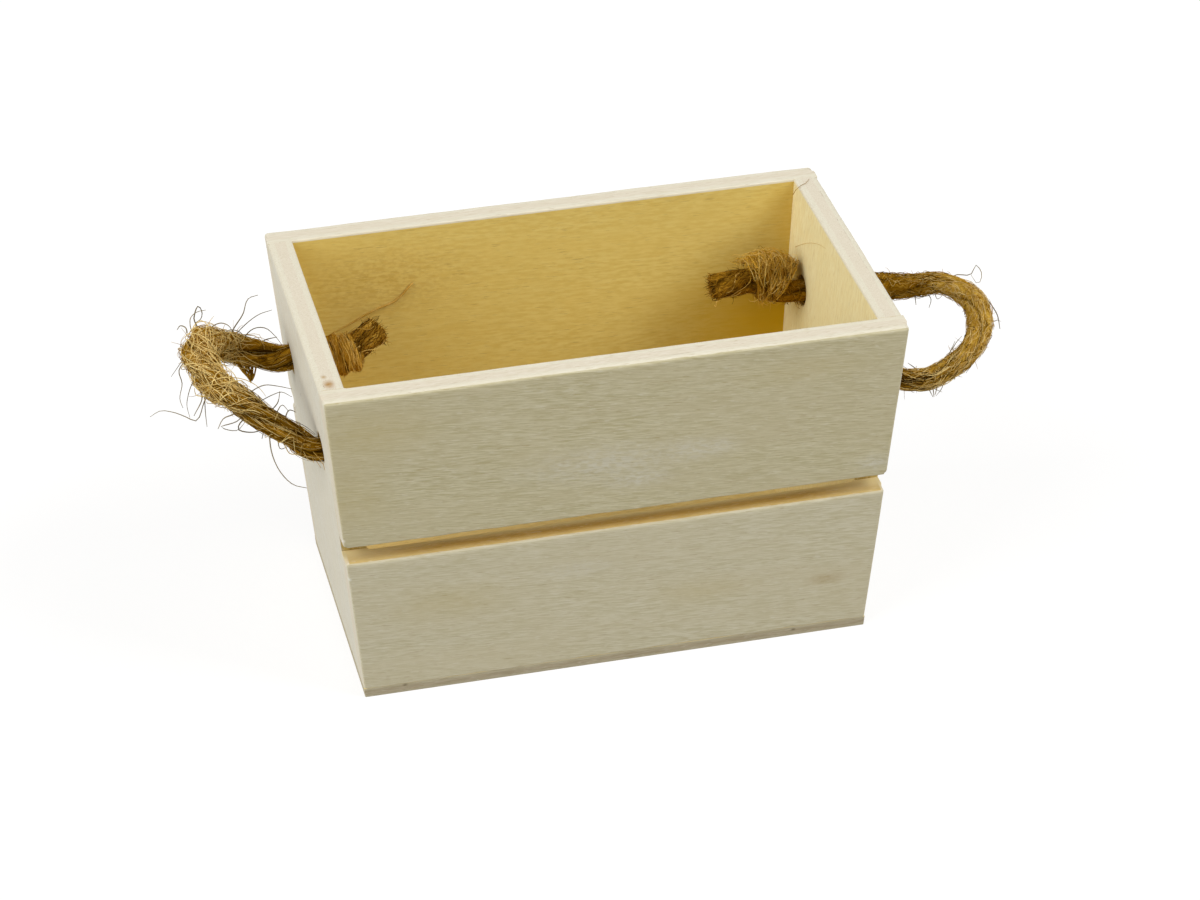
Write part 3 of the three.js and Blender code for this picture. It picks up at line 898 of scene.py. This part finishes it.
# Loose fibres
# Jute is a coarse bast fibre, so the twisted rope is hairy all over: short fibres lie along its skin, and
# others stand off it. The left rope is worn to a straw-pale tangle round its bend.
FIBRE_RINGS = 10
FIBRE_SIDES = 3
FIBRE_FRONT = np.array([0.32, 0.55, 0.77])
FIBRE_TAPER = 0.55
FIBRE_WAVES = (1, 2.8)
LIFT_TURN = 2.2
LEAST_SQUARE = 0.04
FIBRE_CLOUD = (0.002, 0.002, 0.002)
SKIN_CLEAR = (0.00002, 0.00012)
ROOT_SHARE = 0.93
LEAST_CURL = 0.15
FRAY_DEPTH = 0.001
FRAY_SPREAD = 0.95
FRAY_CURL = 1.2
FRAY_STRAY = 0.3
FINE = (0.00008, 0.00016)
MEDIUM = (0.00010, 0.00022)
COARSE = (0.00018, 0.00034)
ANY_TONE = (0.1, 0.9)
DARK_TONE = (0.0, 0.35)
PALE_TONE = (0.65, 1.0)
FIBRE_SEEDS = {"left": 201, "right": 203}
FLUFF_SEED = 211
# A row is how many fibres lie on a rope, over which shares of its length, how long they are, how far they
# follow its lay, stray, waver and lift, how thick they are and their tone.
LYING = {
    "left": [
        (300, (0.10, 0.46), (0.005, 0.014), (0.3, 0.10), MEDIUM, DARK_TONE),
        (150, (0.10, 0.46), (0.006, 0.014), (0.3, 0.14), FINE, PALE_TONE),
        (40, (0.12, 0.42), (0.004, 0.010), (0.3, 0.6, 0.3, 0.0006), COARSE, PALE_TONE),
        (330, (0.34, 0.74), (0.006, 0.013), (0.3, 0.55, 0.14, 0.0008), COARSE, (0.7, 1.0)),
        (330, (0.34, 0.74), (0.003, 0.007), (0.3, 0.7, 0.2, 0.0005), MEDIUM, (0.25, 0.9)),
        (60, (0.68, 0.92), (0.005, 0.012), (1.0, 0.06), FINE, (0.4, 1.0)),
        (60, (0.68, 0.92), (0.005, 0.012), (1.0, 0.06), FINE, DARK_TONE),
        (26, (0.66, 0.78), (0.005, 0.010), (0.3, 0.6, 0.4, 0.0008), MEDIUM, PALE_TONE),
    ],
    "right": [
        (180, (0.09, 0.26), (0.003, 0.008), (0.6, 0.15), MEDIUM, ANY_TONE),
        (620, (0.22, 0.68), (0.002, 0.006), (0.3, 0.22), MEDIUM, (0.45, 1.0)),
        (420, (0.64, 0.93), (0.002, 0.006), (0.3, 0.18), MEDIUM, (0.05, 0.7)),
        (90, (0.28, 0.93), (0.0008, 0.002), (0.3, 0.3), COARSE, (0.0, 0.2)),
        (70, (0.11, 0.30), (0.004, 0.010), (0.7, 0.14), COARSE, PALE_TONE),
        (60, (0.10, 0.27), (0.003, 0.008), (0.7, 0.10), COARSE, (0.0, 0.12)),
        (120, (0.2, 0.8), (0.002, 0.005), (0.3, 0.6, 0.4, 0.0003), FINE, PALE_TONE),
    ],
}
# The same for fibres that stand off a rope, which curl instead.
STANDING = {
    "left": [
        (240, (0.14, 0.86), (0.0006, 0.0025), (2.5,), FINE, ANY_TONE),
        (60, (0.34, 0.74), (0.002, 0.005), (4.5,), MEDIUM, (0.2, 0.8)),
    ],
    "right": [
        (420, (0.1, 0.92), (0.0004, 0.0014), (2.5,), FINE, ANY_TONE),
        (120, (0.12, 0.9), (0.0015, 0.0034), (3.0,), FINE, ANY_TONE),
        (160, (0.945, 0.99), (0.001, 0.003), (3.5,), FINE, (0.0, 0.7)),
    ],
}
# How many fibres are teased out of each knot, how long, and in what tones.
KNOT_FLUFF = {
    "left_front_knot": (160, (0.0008, 0.0025), ANY_TONE),
    "left_back_knot": (260, (0.0006, 0.0018), (0.5, 1.0)),
    "right_front_knot": (160, (0.0008, 0.0025), ANY_TONE),
    "right_back_knot": (300, (0.0010, 0.0030), (0.0, 0.7)),
}


def on_rope(line, run, angle, off):
    """Points at a run along a rope's middle line, an angle round it and a distance off it."""
    def at(values):
        """The values at each run."""
        return np.stack([np.interp(run, line["run"], values[:, axis]) for axis in range(3)], -1)
    outward = np.cos(angle)[..., None] * at(line["beside"]) + np.sin(angle)[..., None] * at(line["over"])
    return at(line["path"]) + off[..., None] * outward


def skin_radius(line, run, angle):
    """How far a rope's skin lies from its middle line: the far side of the strand nearest that angle."""
    aside = angle - np.interp(run, line["run"], line["angle"])
    half = np.pi / STRANDS
    aside = (aside + half) % (2 * half) - half
    offset = np.interp(run, line["run"], line["offset"])
    share = np.interp(run, line["run"], line["share"])
    across = np.sqrt(np.maximum(share**2 - (offset * np.sin(aside))**2, LEAST_SQUARE))
    return np.interp(run, line["run"], line["radius"]) * (offset * np.cos(aside) + across)


def lying_fibres(line, chance, count, span, length, follow, stray, waver=0.1, lift=0.0003, turns=ANY_TURN):
    """Fibres on a rope's skin. Each starts at a chance place in the span, which is a share of the rope's
    length, at a chance one of the turns round the rope, and heads along it, turned by a share of its lay and
    by a chance stray. It wavers to the sides, and rises from the skin to a chance lift at its far end."""
    t = np.linspace(0, 1, FIBRE_RINGS)
    whole = line["run"][-1]
    start = whole * chance.uniform(*span, (count, 1))
    reach = chance.uniform(*length, (count, 1)) * chance.choice([-1.0, 1.0], (count, 1))
    heading = chance.normal(0, stray, (count, 1))
    run = np.clip(start + reach * t * np.cos(heading), 0, whole)
    swing = chance.normal(0, waver, (count, 1))
    swing = swing * np.sin(np.pi * chance.uniform(*FIBRE_WAVES, (count, 1)) * t)
    first = np.interp(start, line["run"], line["angle"])
    turned = follow * (np.interp(run, line["run"], line["angle"]) - first)
    angle = chance.uniform(*turns, (count, 1)) + turned
    angle = angle + reach * t * np.sin(heading) / (ROPE_DIAMETER / 2) + swing
    clear = chance.uniform(*SKIN_CLEAR, (count, 1))
    off = clear + np.abs(chance.normal(0, lift, (count, 1))) * np.sin(LIFT_TURN * t)
    return on_rope(line, run, angle, skin_radius(line, run, angle) + off)


def arcs(root, heading, chance, length, curl):
    """Hairs from their roots. Each sets out along its heading and goes round an arc of a circle in a chance
    plane, by a chance angle up to the curl."""
    count = len(root)
    t = np.linspace(0, 1, FIBRE_RINGS)[None, :, None]
    ahead = unit(heading)
    aside = unit(np.cross(ahead, chance.normal(0, 1, (count, 3))))
    turn = chance.uniform(LEAST_CURL, curl, (count, 1, 1))
    reach = chance.uniform(*length, (count, 1, 1)) / turn
    bow = np.sin(turn * t) * ahead[:, None] + (1 - np.cos(turn * t)) * aside[:, None]
    return root[:, None] + reach * bow


def standing_fibres(line, chance, count, span, length, curl, stray=0.7):
    """Hairs that leave a rope's skin outwards, but for a chance stray, and curl."""
    run = line["run"][-1] * chance.uniform(*span, count)
    angle = chance.uniform(0, 2 * np.pi, count)
    skin = skin_radius(line, run, angle)
    root = on_rope(line, run, angle, ROOT_SHARE * skin)
    outward = (on_rope(line, run, angle, skin) - root) / ((1 - ROOT_SHARE) * skin)[:, None]
    return arcs(root, outward + chance.normal(0, stray, (count, 3)), chance, length, curl)


def frayed_end(line, chance, count, length):
    """Fibres that leave a rope's cut end all over, along the rope but for a chance stray."""
    angle = chance.uniform(0, 2 * np.pi, count)
    off = FRAY_SPREAD * line["radius"][-1] * np.sqrt(chance.uniform(0, 1, count))
    root = on_rope(line, np.full(count, line["run"][-1] - FRAY_DEPTH), angle, off)
    ahead = unit(line["path"][-1] - line["path"][-3])
    return arcs(root, ahead + chance.normal(0, FRAY_STRAY, (count, 3)), chance, length, FRAY_CURL)


def fibre_piece(name, groups, chance, finish):
    """Thin three-sided tubes along the paths of each group, finer towards their ends. A group gives its
    paths, and the ranges that each fibre's thickness and tone are drawn from."""
    turn = 2 * np.pi * np.arange(FIBRE_SIDES)[:, None] / FIBRE_SIDES
    parts = []
    for paths, thickness, tone in groups:
        beside, over = path_sides(paths, FIBRE_FRONT)
        radius = chance.uniform(*thickness, (len(paths), 1)) / 2
        radius = radius * (1 - FIBRE_TAPER * np.linspace(0, 1, paths.shape[1])**2)
        ring = np.cos(turn) * beside[:, :, None] + np.sin(turn) * over[:, :, None]
        tones = np.repeat(chance.uniform(*tone, len(paths)), paths.shape[1] * FIBRE_SIDES)
        parts.append((paths[:, :, None] + radius[..., None, None] * ring, {"tone": tones}))
    return tubes_piece(name, parts, finish)


def fibre_finish(name, dark, middle, straw):
    """Single jute fibres: each fibre's tone picks a colour from dark through middle to straw."""
    finish, tree, skin = new_finish(name, 0.03, 0.8)
    cloud = mottle(add_node(tree, "TexCoord", {}, "Object"), FIBRE_CLOUD)
    patchy = sums("MULTIPLY_ADD", cloud, 0.3, sums("SUBTRACT", kept_value(tree, "tone"), 0.15))
    colour = blended(rise(patchy, 0.0, 0.5), tint(dark), tint(middle))
    colour = blended(rise(patchy, 0.45, 1.0), colour, tint(straw))
    tree.links.new(colour, skin.inputs["Base Color"])
    return finish


def scattered(make, line, chance, rows):
    """The groups of fibres that the rows of a table ask for, each made by the function given."""
    return [(make(line, chance, count, span, length, *ways), thickness, tone)
            for count, span, length, ways, thickness, tone in rows]


straw_finish = fibre_finish("jute_fibres", "#4a2c00", "#b88820", "#fade94")
knot_fibre_finish = fibre_finish("knot_fibres", "#4c2e00", "#bc8a28", "#f4d078")
for hand, handle in handles.items():
    chance = np.random.default_rng(FIBRE_SEEDS[hand])
    groups = scattered(lying_fibres, handle["line"], chance, LYING[hand])
    groups += scattered(standing_fibres, handle["line"], chance, STANDING[hand])
    fibres = fibre_piece(hand + "_rope_fibres", groups, chance, straw_finish)
    bend(fibres)
    handle["pieces"].append(fibres)
for number, (node, (count, length, tone)) in enumerate(KNOT_FLUFF.items()):
    hand = node.split("_")[0]
    chance = np.random.default_rng(FLUFF_SEED + number)
    core, wrap = knot_ropes[node]
    fluff = fibre_piece(node + "_fibres", [
        (lying_fibres(core, chance, 300, (0.1, 1.0), (0.002, 0.007), 0.5, 0.2), MEDIUM, (0.0, 0.5)),
        (lying_fibres(core, chance, 8, (0.5, 1.0), (0.006, 0.009), 0.5, 0.5, 0.2, 0.0008), COARSE, PALE_TONE),
        (lying_fibres(wrap, chance, 420, (0.04, 0.96), (0.002, 0.006), 0.5, 0.2), MEDIUM, tone),
        (standing_fibres(core, chance, 140, (0.3, 1.0), (0.0008, 0.0030), 3.5), FINE, (0.0, 0.6)),
        (standing_fibres(wrap, chance, count, (0.08, 0.92), length, 4.0), FINE, tone),
        (frayed_end(core, chance, 160, (0.0008, 0.003)), MEDIUM, (0.0, 0.7)),
    ], chance, knot_fibre_finish)
    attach(fluff, hand + "_rope")
    handles[hand]["pieces"].append(fluff)

# The right rope's back knot is the loosest: its top is teased out into a pale ball of fluff.
BALL_RADIUS = 0.0060
BALL_TURNS = (0.6, 2.3)
BALL_START = 5
BALL_SEED = 221
ball_core = {key: values[BALL_START:] for key, values in knot_ropes["right_back_knot"][0].items()}
ball_line = dict(ball_core, radius=np.full(len(ball_core["run"]), BALL_RADIUS))
ball_chance = np.random.default_rng(BALL_SEED)
ball_finish = fibre_finish("teased_fibres", "#8a5c04", "#dcaa38", "#fcdc84")
ball = fibre_piece("right_back_knot_fluff", [
    (lying_fibres(ball_line, ball_chance, 420, (0.08, 0.5), (0.002, 0.005), 0, 0.5, 0.5, 0.0010, BALL_TURNS),
     MEDIUM, (0.1, 1.0)),
    (standing_fibres(ball_line, ball_chance, 420, (0.10, 0.5), (0.0012, 0.0040), 5.0, 0.6), FINE, (0.2, 0.9)),
], ball_chance, ball_finish)
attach(ball, "right_rope")
handles["right"]["pieces"].append(ball)


# Long hairs
# Single fibres that have worked loose of the ropes and curl out of them, and a few shed ones that lie on the
# wood. They run as the photograph shows them, in pixels from root to tip.
PHOTO_SIZE = (1200, 900)
CAMERA_PLACE = np.array([-0.17606, -0.78729, 0.53738])
CAMERA_RIGHT = np.array([0.97286, -0.23103, -0.01261])
CAMERA_UP = np.array([0.13180, 0.50855, 0.85088])
CAMERA_BACK = np.array([-0.19016, -0.82946, 0.52520])
CAMERA_LENS = 115.04
SENSOR_WIDTH = 36.0
FOCAL_PIXELS = CAMERA_LENS / SENSOR_WIDTH * PHOTO_SIZE[0]
HAIR_RINGS = 16
HAIR_STEP = 0.5
HAIR_LEAN = 0.5
HAIR_SEED = 231
LEFT_HAIRS = [
    [(210, 392), (205, 400), (195, 421), (186, 417), (172, 412), (160, 411), (150, 417)],
    [(184, 362), (179, 370), (182, 383), (180, 400), (183, 408)],
    [(194, 380), (190, 389), (187, 405), (190, 418)],
    [(203, 378), (199, 385), (202, 397), (194, 416)],
    [(210, 388), (205, 397), (205, 407), (207, 427)],
    [(240, 405), (235, 413), (223, 419), (218, 429)],
    [(246, 408), (239, 420), (221, 427), (238, 430), (245, 422)],
    [(250, 412), (238, 429), (255, 432), (270, 424)],
    [(268, 420), (265, 427), (262, 439)],
    [(272, 424), (270, 434), (272, 454), (281, 473), (294, 485), (307, 488)],
    [(279, 428), (278, 436), (281, 449), (289, 446)],
    [(229, 338), (234, 328), (243, 314), (249, 298), (258, 295)],
    [(232, 338), (237, 333), (245, 325), (260, 314), (272, 310)],
    [(242, 342), (246, 335), (255, 328), (265, 328), (274, 335), (282, 345)],
    [(258, 344), (265, 340), (277, 337)],
    [(199, 330), (194, 317), (199, 306), (202, 312), (200, 320), (195, 323)],
    [(192, 332), (190, 325), (191, 317), (197, 312), (206, 310)],
    [(187, 333), (186, 328), (180, 326), (177, 330)],
    [(209, 330), (213, 326), (221, 323), (229, 326), (233, 333)],
    [(244, 398), (252, 391), (265, 385), (277, 386), (292, 389)],
    [(252, 404), (260, 401), (272, 395), (281, 392), (292, 397)],
    [(270, 412), (278, 402), (280, 391)],
    [(272, 416), (276, 413), (282, 405), (289, 412)],
    [(284, 420), (290, 410), (296, 412)],
    [(188, 352), (180, 364), (171, 377)],
    [(228, 342), (238, 336), (250, 338), (256, 345)],
    [(222, 335), (230, 330), (240, 332), (247, 340)],
]
LEFT_HOLE_HAIRS = [
    [(304, 440), (309, 451), (315, 459), (321, 468)],
    [(308, 446), (316, 455), (322, 462), (325, 470)],
    [(302, 442), (306, 452), (308, 461)],
    [(312, 448), (318, 460), (326, 466)],
    [(306, 444), (312, 456), (314, 463)],
    [(300, 438), (304, 446), (310, 452)],
    [(314, 450), (320, 456), (325, 458)],
]
LEFT_TUFT = [
    [(238, 364), (243, 371), (248, 377), (251, 382)],
    [(241, 364), (245, 372), (249, 378), (250, 382)],
    [(244, 364), (248, 372), (250, 378), (251, 383)],
    [(248, 364), (250, 371), (251, 377), (250, 382)],
    [(252, 365), (252, 371), (252, 377), (251, 381)],
    [(256, 366), (255, 371), (254, 376), (252, 381)],
    [(246, 364), (250, 370), (253, 375), (252, 380)],
    [(240, 366), (246, 370), (252, 374), (255, 374)],
]
RIGHT_HAIRS = [
    [(945, 282), (955, 275), (971, 274), (976, 265), (982, 275), (978, 284), (971, 275)],
    [(988, 300), (993, 307), (997, 314), (1000, 329)],
    [(914, 290), (915, 296), (916, 305)],
    [(926, 292), (931, 299), (929, 308)],
    [(934, 290), (938, 299), (942, 296)],
    [(920, 372), (915, 368), (908, 363)],
    [(962, 358), (972, 363), (966, 373)],
    [(930, 380), (934, 388), (942, 392)],
    [(944, 378), (942, 388), (936, 396)],
    [(952, 350), (956, 343), (962, 336)],
    [(930, 382), (933, 389), (934, 397)],
    [(926, 384), (930, 391), (933, 397)],
    [(938, 381), (937, 388), (935, 395)],
    [(948, 356), (951, 350), (955, 341)],
]
# The pieces that the hairs of the ropes make: each group's routes, thickness and tone.
LONG_HAIRS = {
    "left_long_hairs": [(LEFT_HAIRS, (0.00024, 0.00040), (0.1, 0.6)),
                        (LEFT_HOLE_HAIRS, (0.00016, 0.00024), (0.9, 1.0))],
    "left_tuft": [(LEFT_TUFT, (0.0005, 0.0009), (0.15, 0.5))],
    "right_long_hairs": [(RIGHT_HAIRS, (0.00022, 0.00036), (0.1, 0.6))],
}


def in_photo(points):
    """Where points fall in the photograph, in pixels, and how far off they are along the view."""
    off = points - CAMERA_PLACE
    far = -off @ CAMERA_BACK
    across = PHOTO_SIZE[0] / 2 + FOCAL_PIXELS * (off @ CAMERA_RIGHT) / far
    down = PHOTO_SIZE[1] / 2 - FOCAL_PIXELS * (off @ CAMERA_UP) / far
    return np.stack([across, down], -1), far


def view_rays(pixels):
    """The directions in which the camera sees pixels of the photograph, each one metre along the view."""
    off = (pixels - np.array(PHOTO_SIZE) / 2) / FOCAL_PIXELS
    return off[..., :1] * CAMERA_RIGHT - off[..., 1:] * CAMERA_UP - CAMERA_BACK


def drawn_hair(route):
    """A smooth curve through a hair's pixels in even steps."""
    pixels = smooth_path(route, HAIR_STEP)
    return pixels[np.linspace(0, len(pixels) - 1, HAIR_RINGS).round().astype(int)]


def rope_hairs(routes, line, chance):
    """Hairs rooted in a rope. Each starts at the rope's own distance from the camera, at the step nearest its
    root, and leans towards or away from the camera by a chance share of its length."""
    seen, far = in_photo(line["path"])
    hairs = []
    for route in routes:
        pixels = drawn_hair(route)
        depth = far[np.argmin(np.linalg.norm(seen - pixels[0], axis=1))]
        lean = 1 + chance.normal(0, HAIR_LEAN) * gone_along(pixels) / FOCAL_PIXELS
        hairs.append(CAMERA_PLACE + (depth * lean)[:, None] * view_rays(pixels))
    return np.stack(hairs)


hair_chance = np.random.default_rng(HAIR_SEED)
hair_finish = fibre_finish("loose_hairs", "#74664a", "#9a8a68", "#d2aa58")
for name, groups in LONG_HAIRS.items():
    hand = name.split("_")[0]
    placed = [(rope_hairs(routes, handles[hand]["line"], hair_chance), thickness, tone)
              for routes, thickness, tone in groups]
    hairs = fibre_piece(name, placed, hair_chance, straw_finish if name == "left_tuft" else hair_finish)
    bend(hairs)
    handles[hand]["pieces"].append(hairs)

# Shed fibres: where each runs, a point on the face that it lies on and the way that face looks, how thick it
# is and its tone.
lean_in = np.array([math.cos(WALL_LEAN), math.sin(WALL_LEAN)])
BACK_INSIDE = ((0, half_width(rim_high.z) - level_ply, rim_high.z), (0, -lean_in[0], lean_in[1]))
RIGHT_INSIDE = ((half_length(rim_high.z) - level_ply, 0, rim_high.z), (-lean_in[0], 0, lean_in[1]))
RIM_TOP = ((0, 0, rim_high.z), (0, 0, 1))
SHED_FIBRES = [
    ([(793, 195), (796, 190), (802, 185), (806, 183), (809, 179)], RIM_TOP, 0.00018, 0.3),
    ([(795, 247), (803, 244), (812, 243), (820, 245), (826, 249)], RIGHT_INSIDE, 0.00010, 0.75),
    ([(413, 283), (397, 300), (375, 310), (352, 323), (330, 335)], BACK_INSIDE, 0.0006, 0.62),
]


def shed_fibre(route, face, thickness):
    """A fibre on a face: the camera's rays through its pixels, each cut off just above the face."""
    point, normal = (np.array(part) for part in face)
    rays = view_rays(drawn_hair(route))
    reach = ((point + thickness * normal - CAMERA_PLACE) @ normal) / (rays @ normal)
    return CAMERA_PLACE + reach[:, None] * rays


shed_fibres = fibre_piece("shed_fibres", [
    (shed_fibre(route, face, thickness)[None], (thickness, thickness), (tone, tone))
    for route, face, thickness, tone in SHED_FIBRES
], hair_chance, straw_finish)
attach(shed_fibres, "box")


# Studio
# A pale floor that shows white to the camera and keeps a soft shadow, a broad lamp from the upper left and a
# smaller one from the upper right, an even pale sky, and a camera at the photograph's place.
FLOOR_HALF = 4.0
FLOOR_LIT = "#9c9a97"
FLOOR_SEEN = "#8d8c8a"
FLOOR_GLOW = 0.80
SKY_STRENGTH = 0.34
WHITE = (1, 1, 1, 1)
LAMP_AIM = (0.0, 0.0, 0.05)
LAMPS = {
    "left_lamp": {"place": (-1.84, -0.575, 1.29), "width": 2.0, "power": 36.5},
    "right_lamp": {"place": (1.52, -0.81, 1.57), "width": 1.2, "power": 27.5},
}


def seen_directly(tree):
    """1 for rays that come from the camera, from a gloss or through glass, and 0 for rays of light."""
    rays = tree.nodes.new("ShaderNodeLightPath").outputs
    glossy = sums("MAXIMUM", rays["Is Camera Ray"], rays["Is Glossy Ray"])
    return sums("MAXIMUM", glossy, rays["Is Transmission Ray"])


floor_corner = FLOOR_HALF * np.array([[-1, -1, 0], [1, -1, 0], [1, 1, 0], [-1, 1, 0]])
floor_finish, floor_tree, floor_skin = new_finish("pale_floor", 0.0, 1.0)
floor_skin.inputs["Emission Color"].default_value = WHITE
floor_seen = seen_directly(floor_tree)
floor_colour = blended(floor_seen, tint(FLOOR_LIT), tint(FLOOR_SEEN))
floor_tree.links.new(floor_colour, floor_skin.inputs["Base Color"])
floor_tree.links.new(times(floor_seen, FLOOR_GLOW), floor_skin.inputs["Emission Strength"])
floor = new_piece("floor", floor_corner, [[0, 1, 2, 3]], floor_finish)

sky = bpy.data.worlds.new("pale_sky")
sky.use_nodes = True
sky_tree = sky.node_tree
sky_light = sky_tree.nodes["Background"]
sky_light.inputs["Color"].default_value = WHITE
sky_level = rise(seen_directly(sky_tree), 0.0, 1.0, SKY_STRENGTH, 1.0)
sky_tree.links.new(sky_level, sky_light.inputs["Strength"])
bpy.context.scene.world = sky

for lamp_name, facts in LAMPS.items():
    lamp = bpy.data.lights.new(lamp_name, "AREA")
    lamp.size = facts["width"]
    lamp.energy = facts["power"]
    lamp_object = bpy.data.objects.new(lamp_name, lamp)
    lamp_object.location = facts["place"]
    lamp_aim = Vector(LAMP_AIM) - Vector(facts["place"])
    lamp_object.rotation_euler = lamp_aim.to_track_quat("-Z", "Y").to_euler()
    bpy.context.scene.collection.objects.link(lamp_object)

camera = bpy.data.cameras.new("camera")
camera.lens = CAMERA_LENS
camera.sensor_width = SENSOR_WIDTH
camera_object = bpy.data.objects.new("camera", camera)
camera_object.matrix_world = Matrix([
    [CAMERA_RIGHT[i], CAMERA_UP[i], CAMERA_BACK[i], CAMERA_PLACE[i]] for i in range(3)
] + [[0, 0, 0, 1]])
bpy.context.scene.collection.objects.link(camera_object)
bpy.context.scene.camera = camera_object
bpy.context.scene.view_settings.view_transform = "Standard"
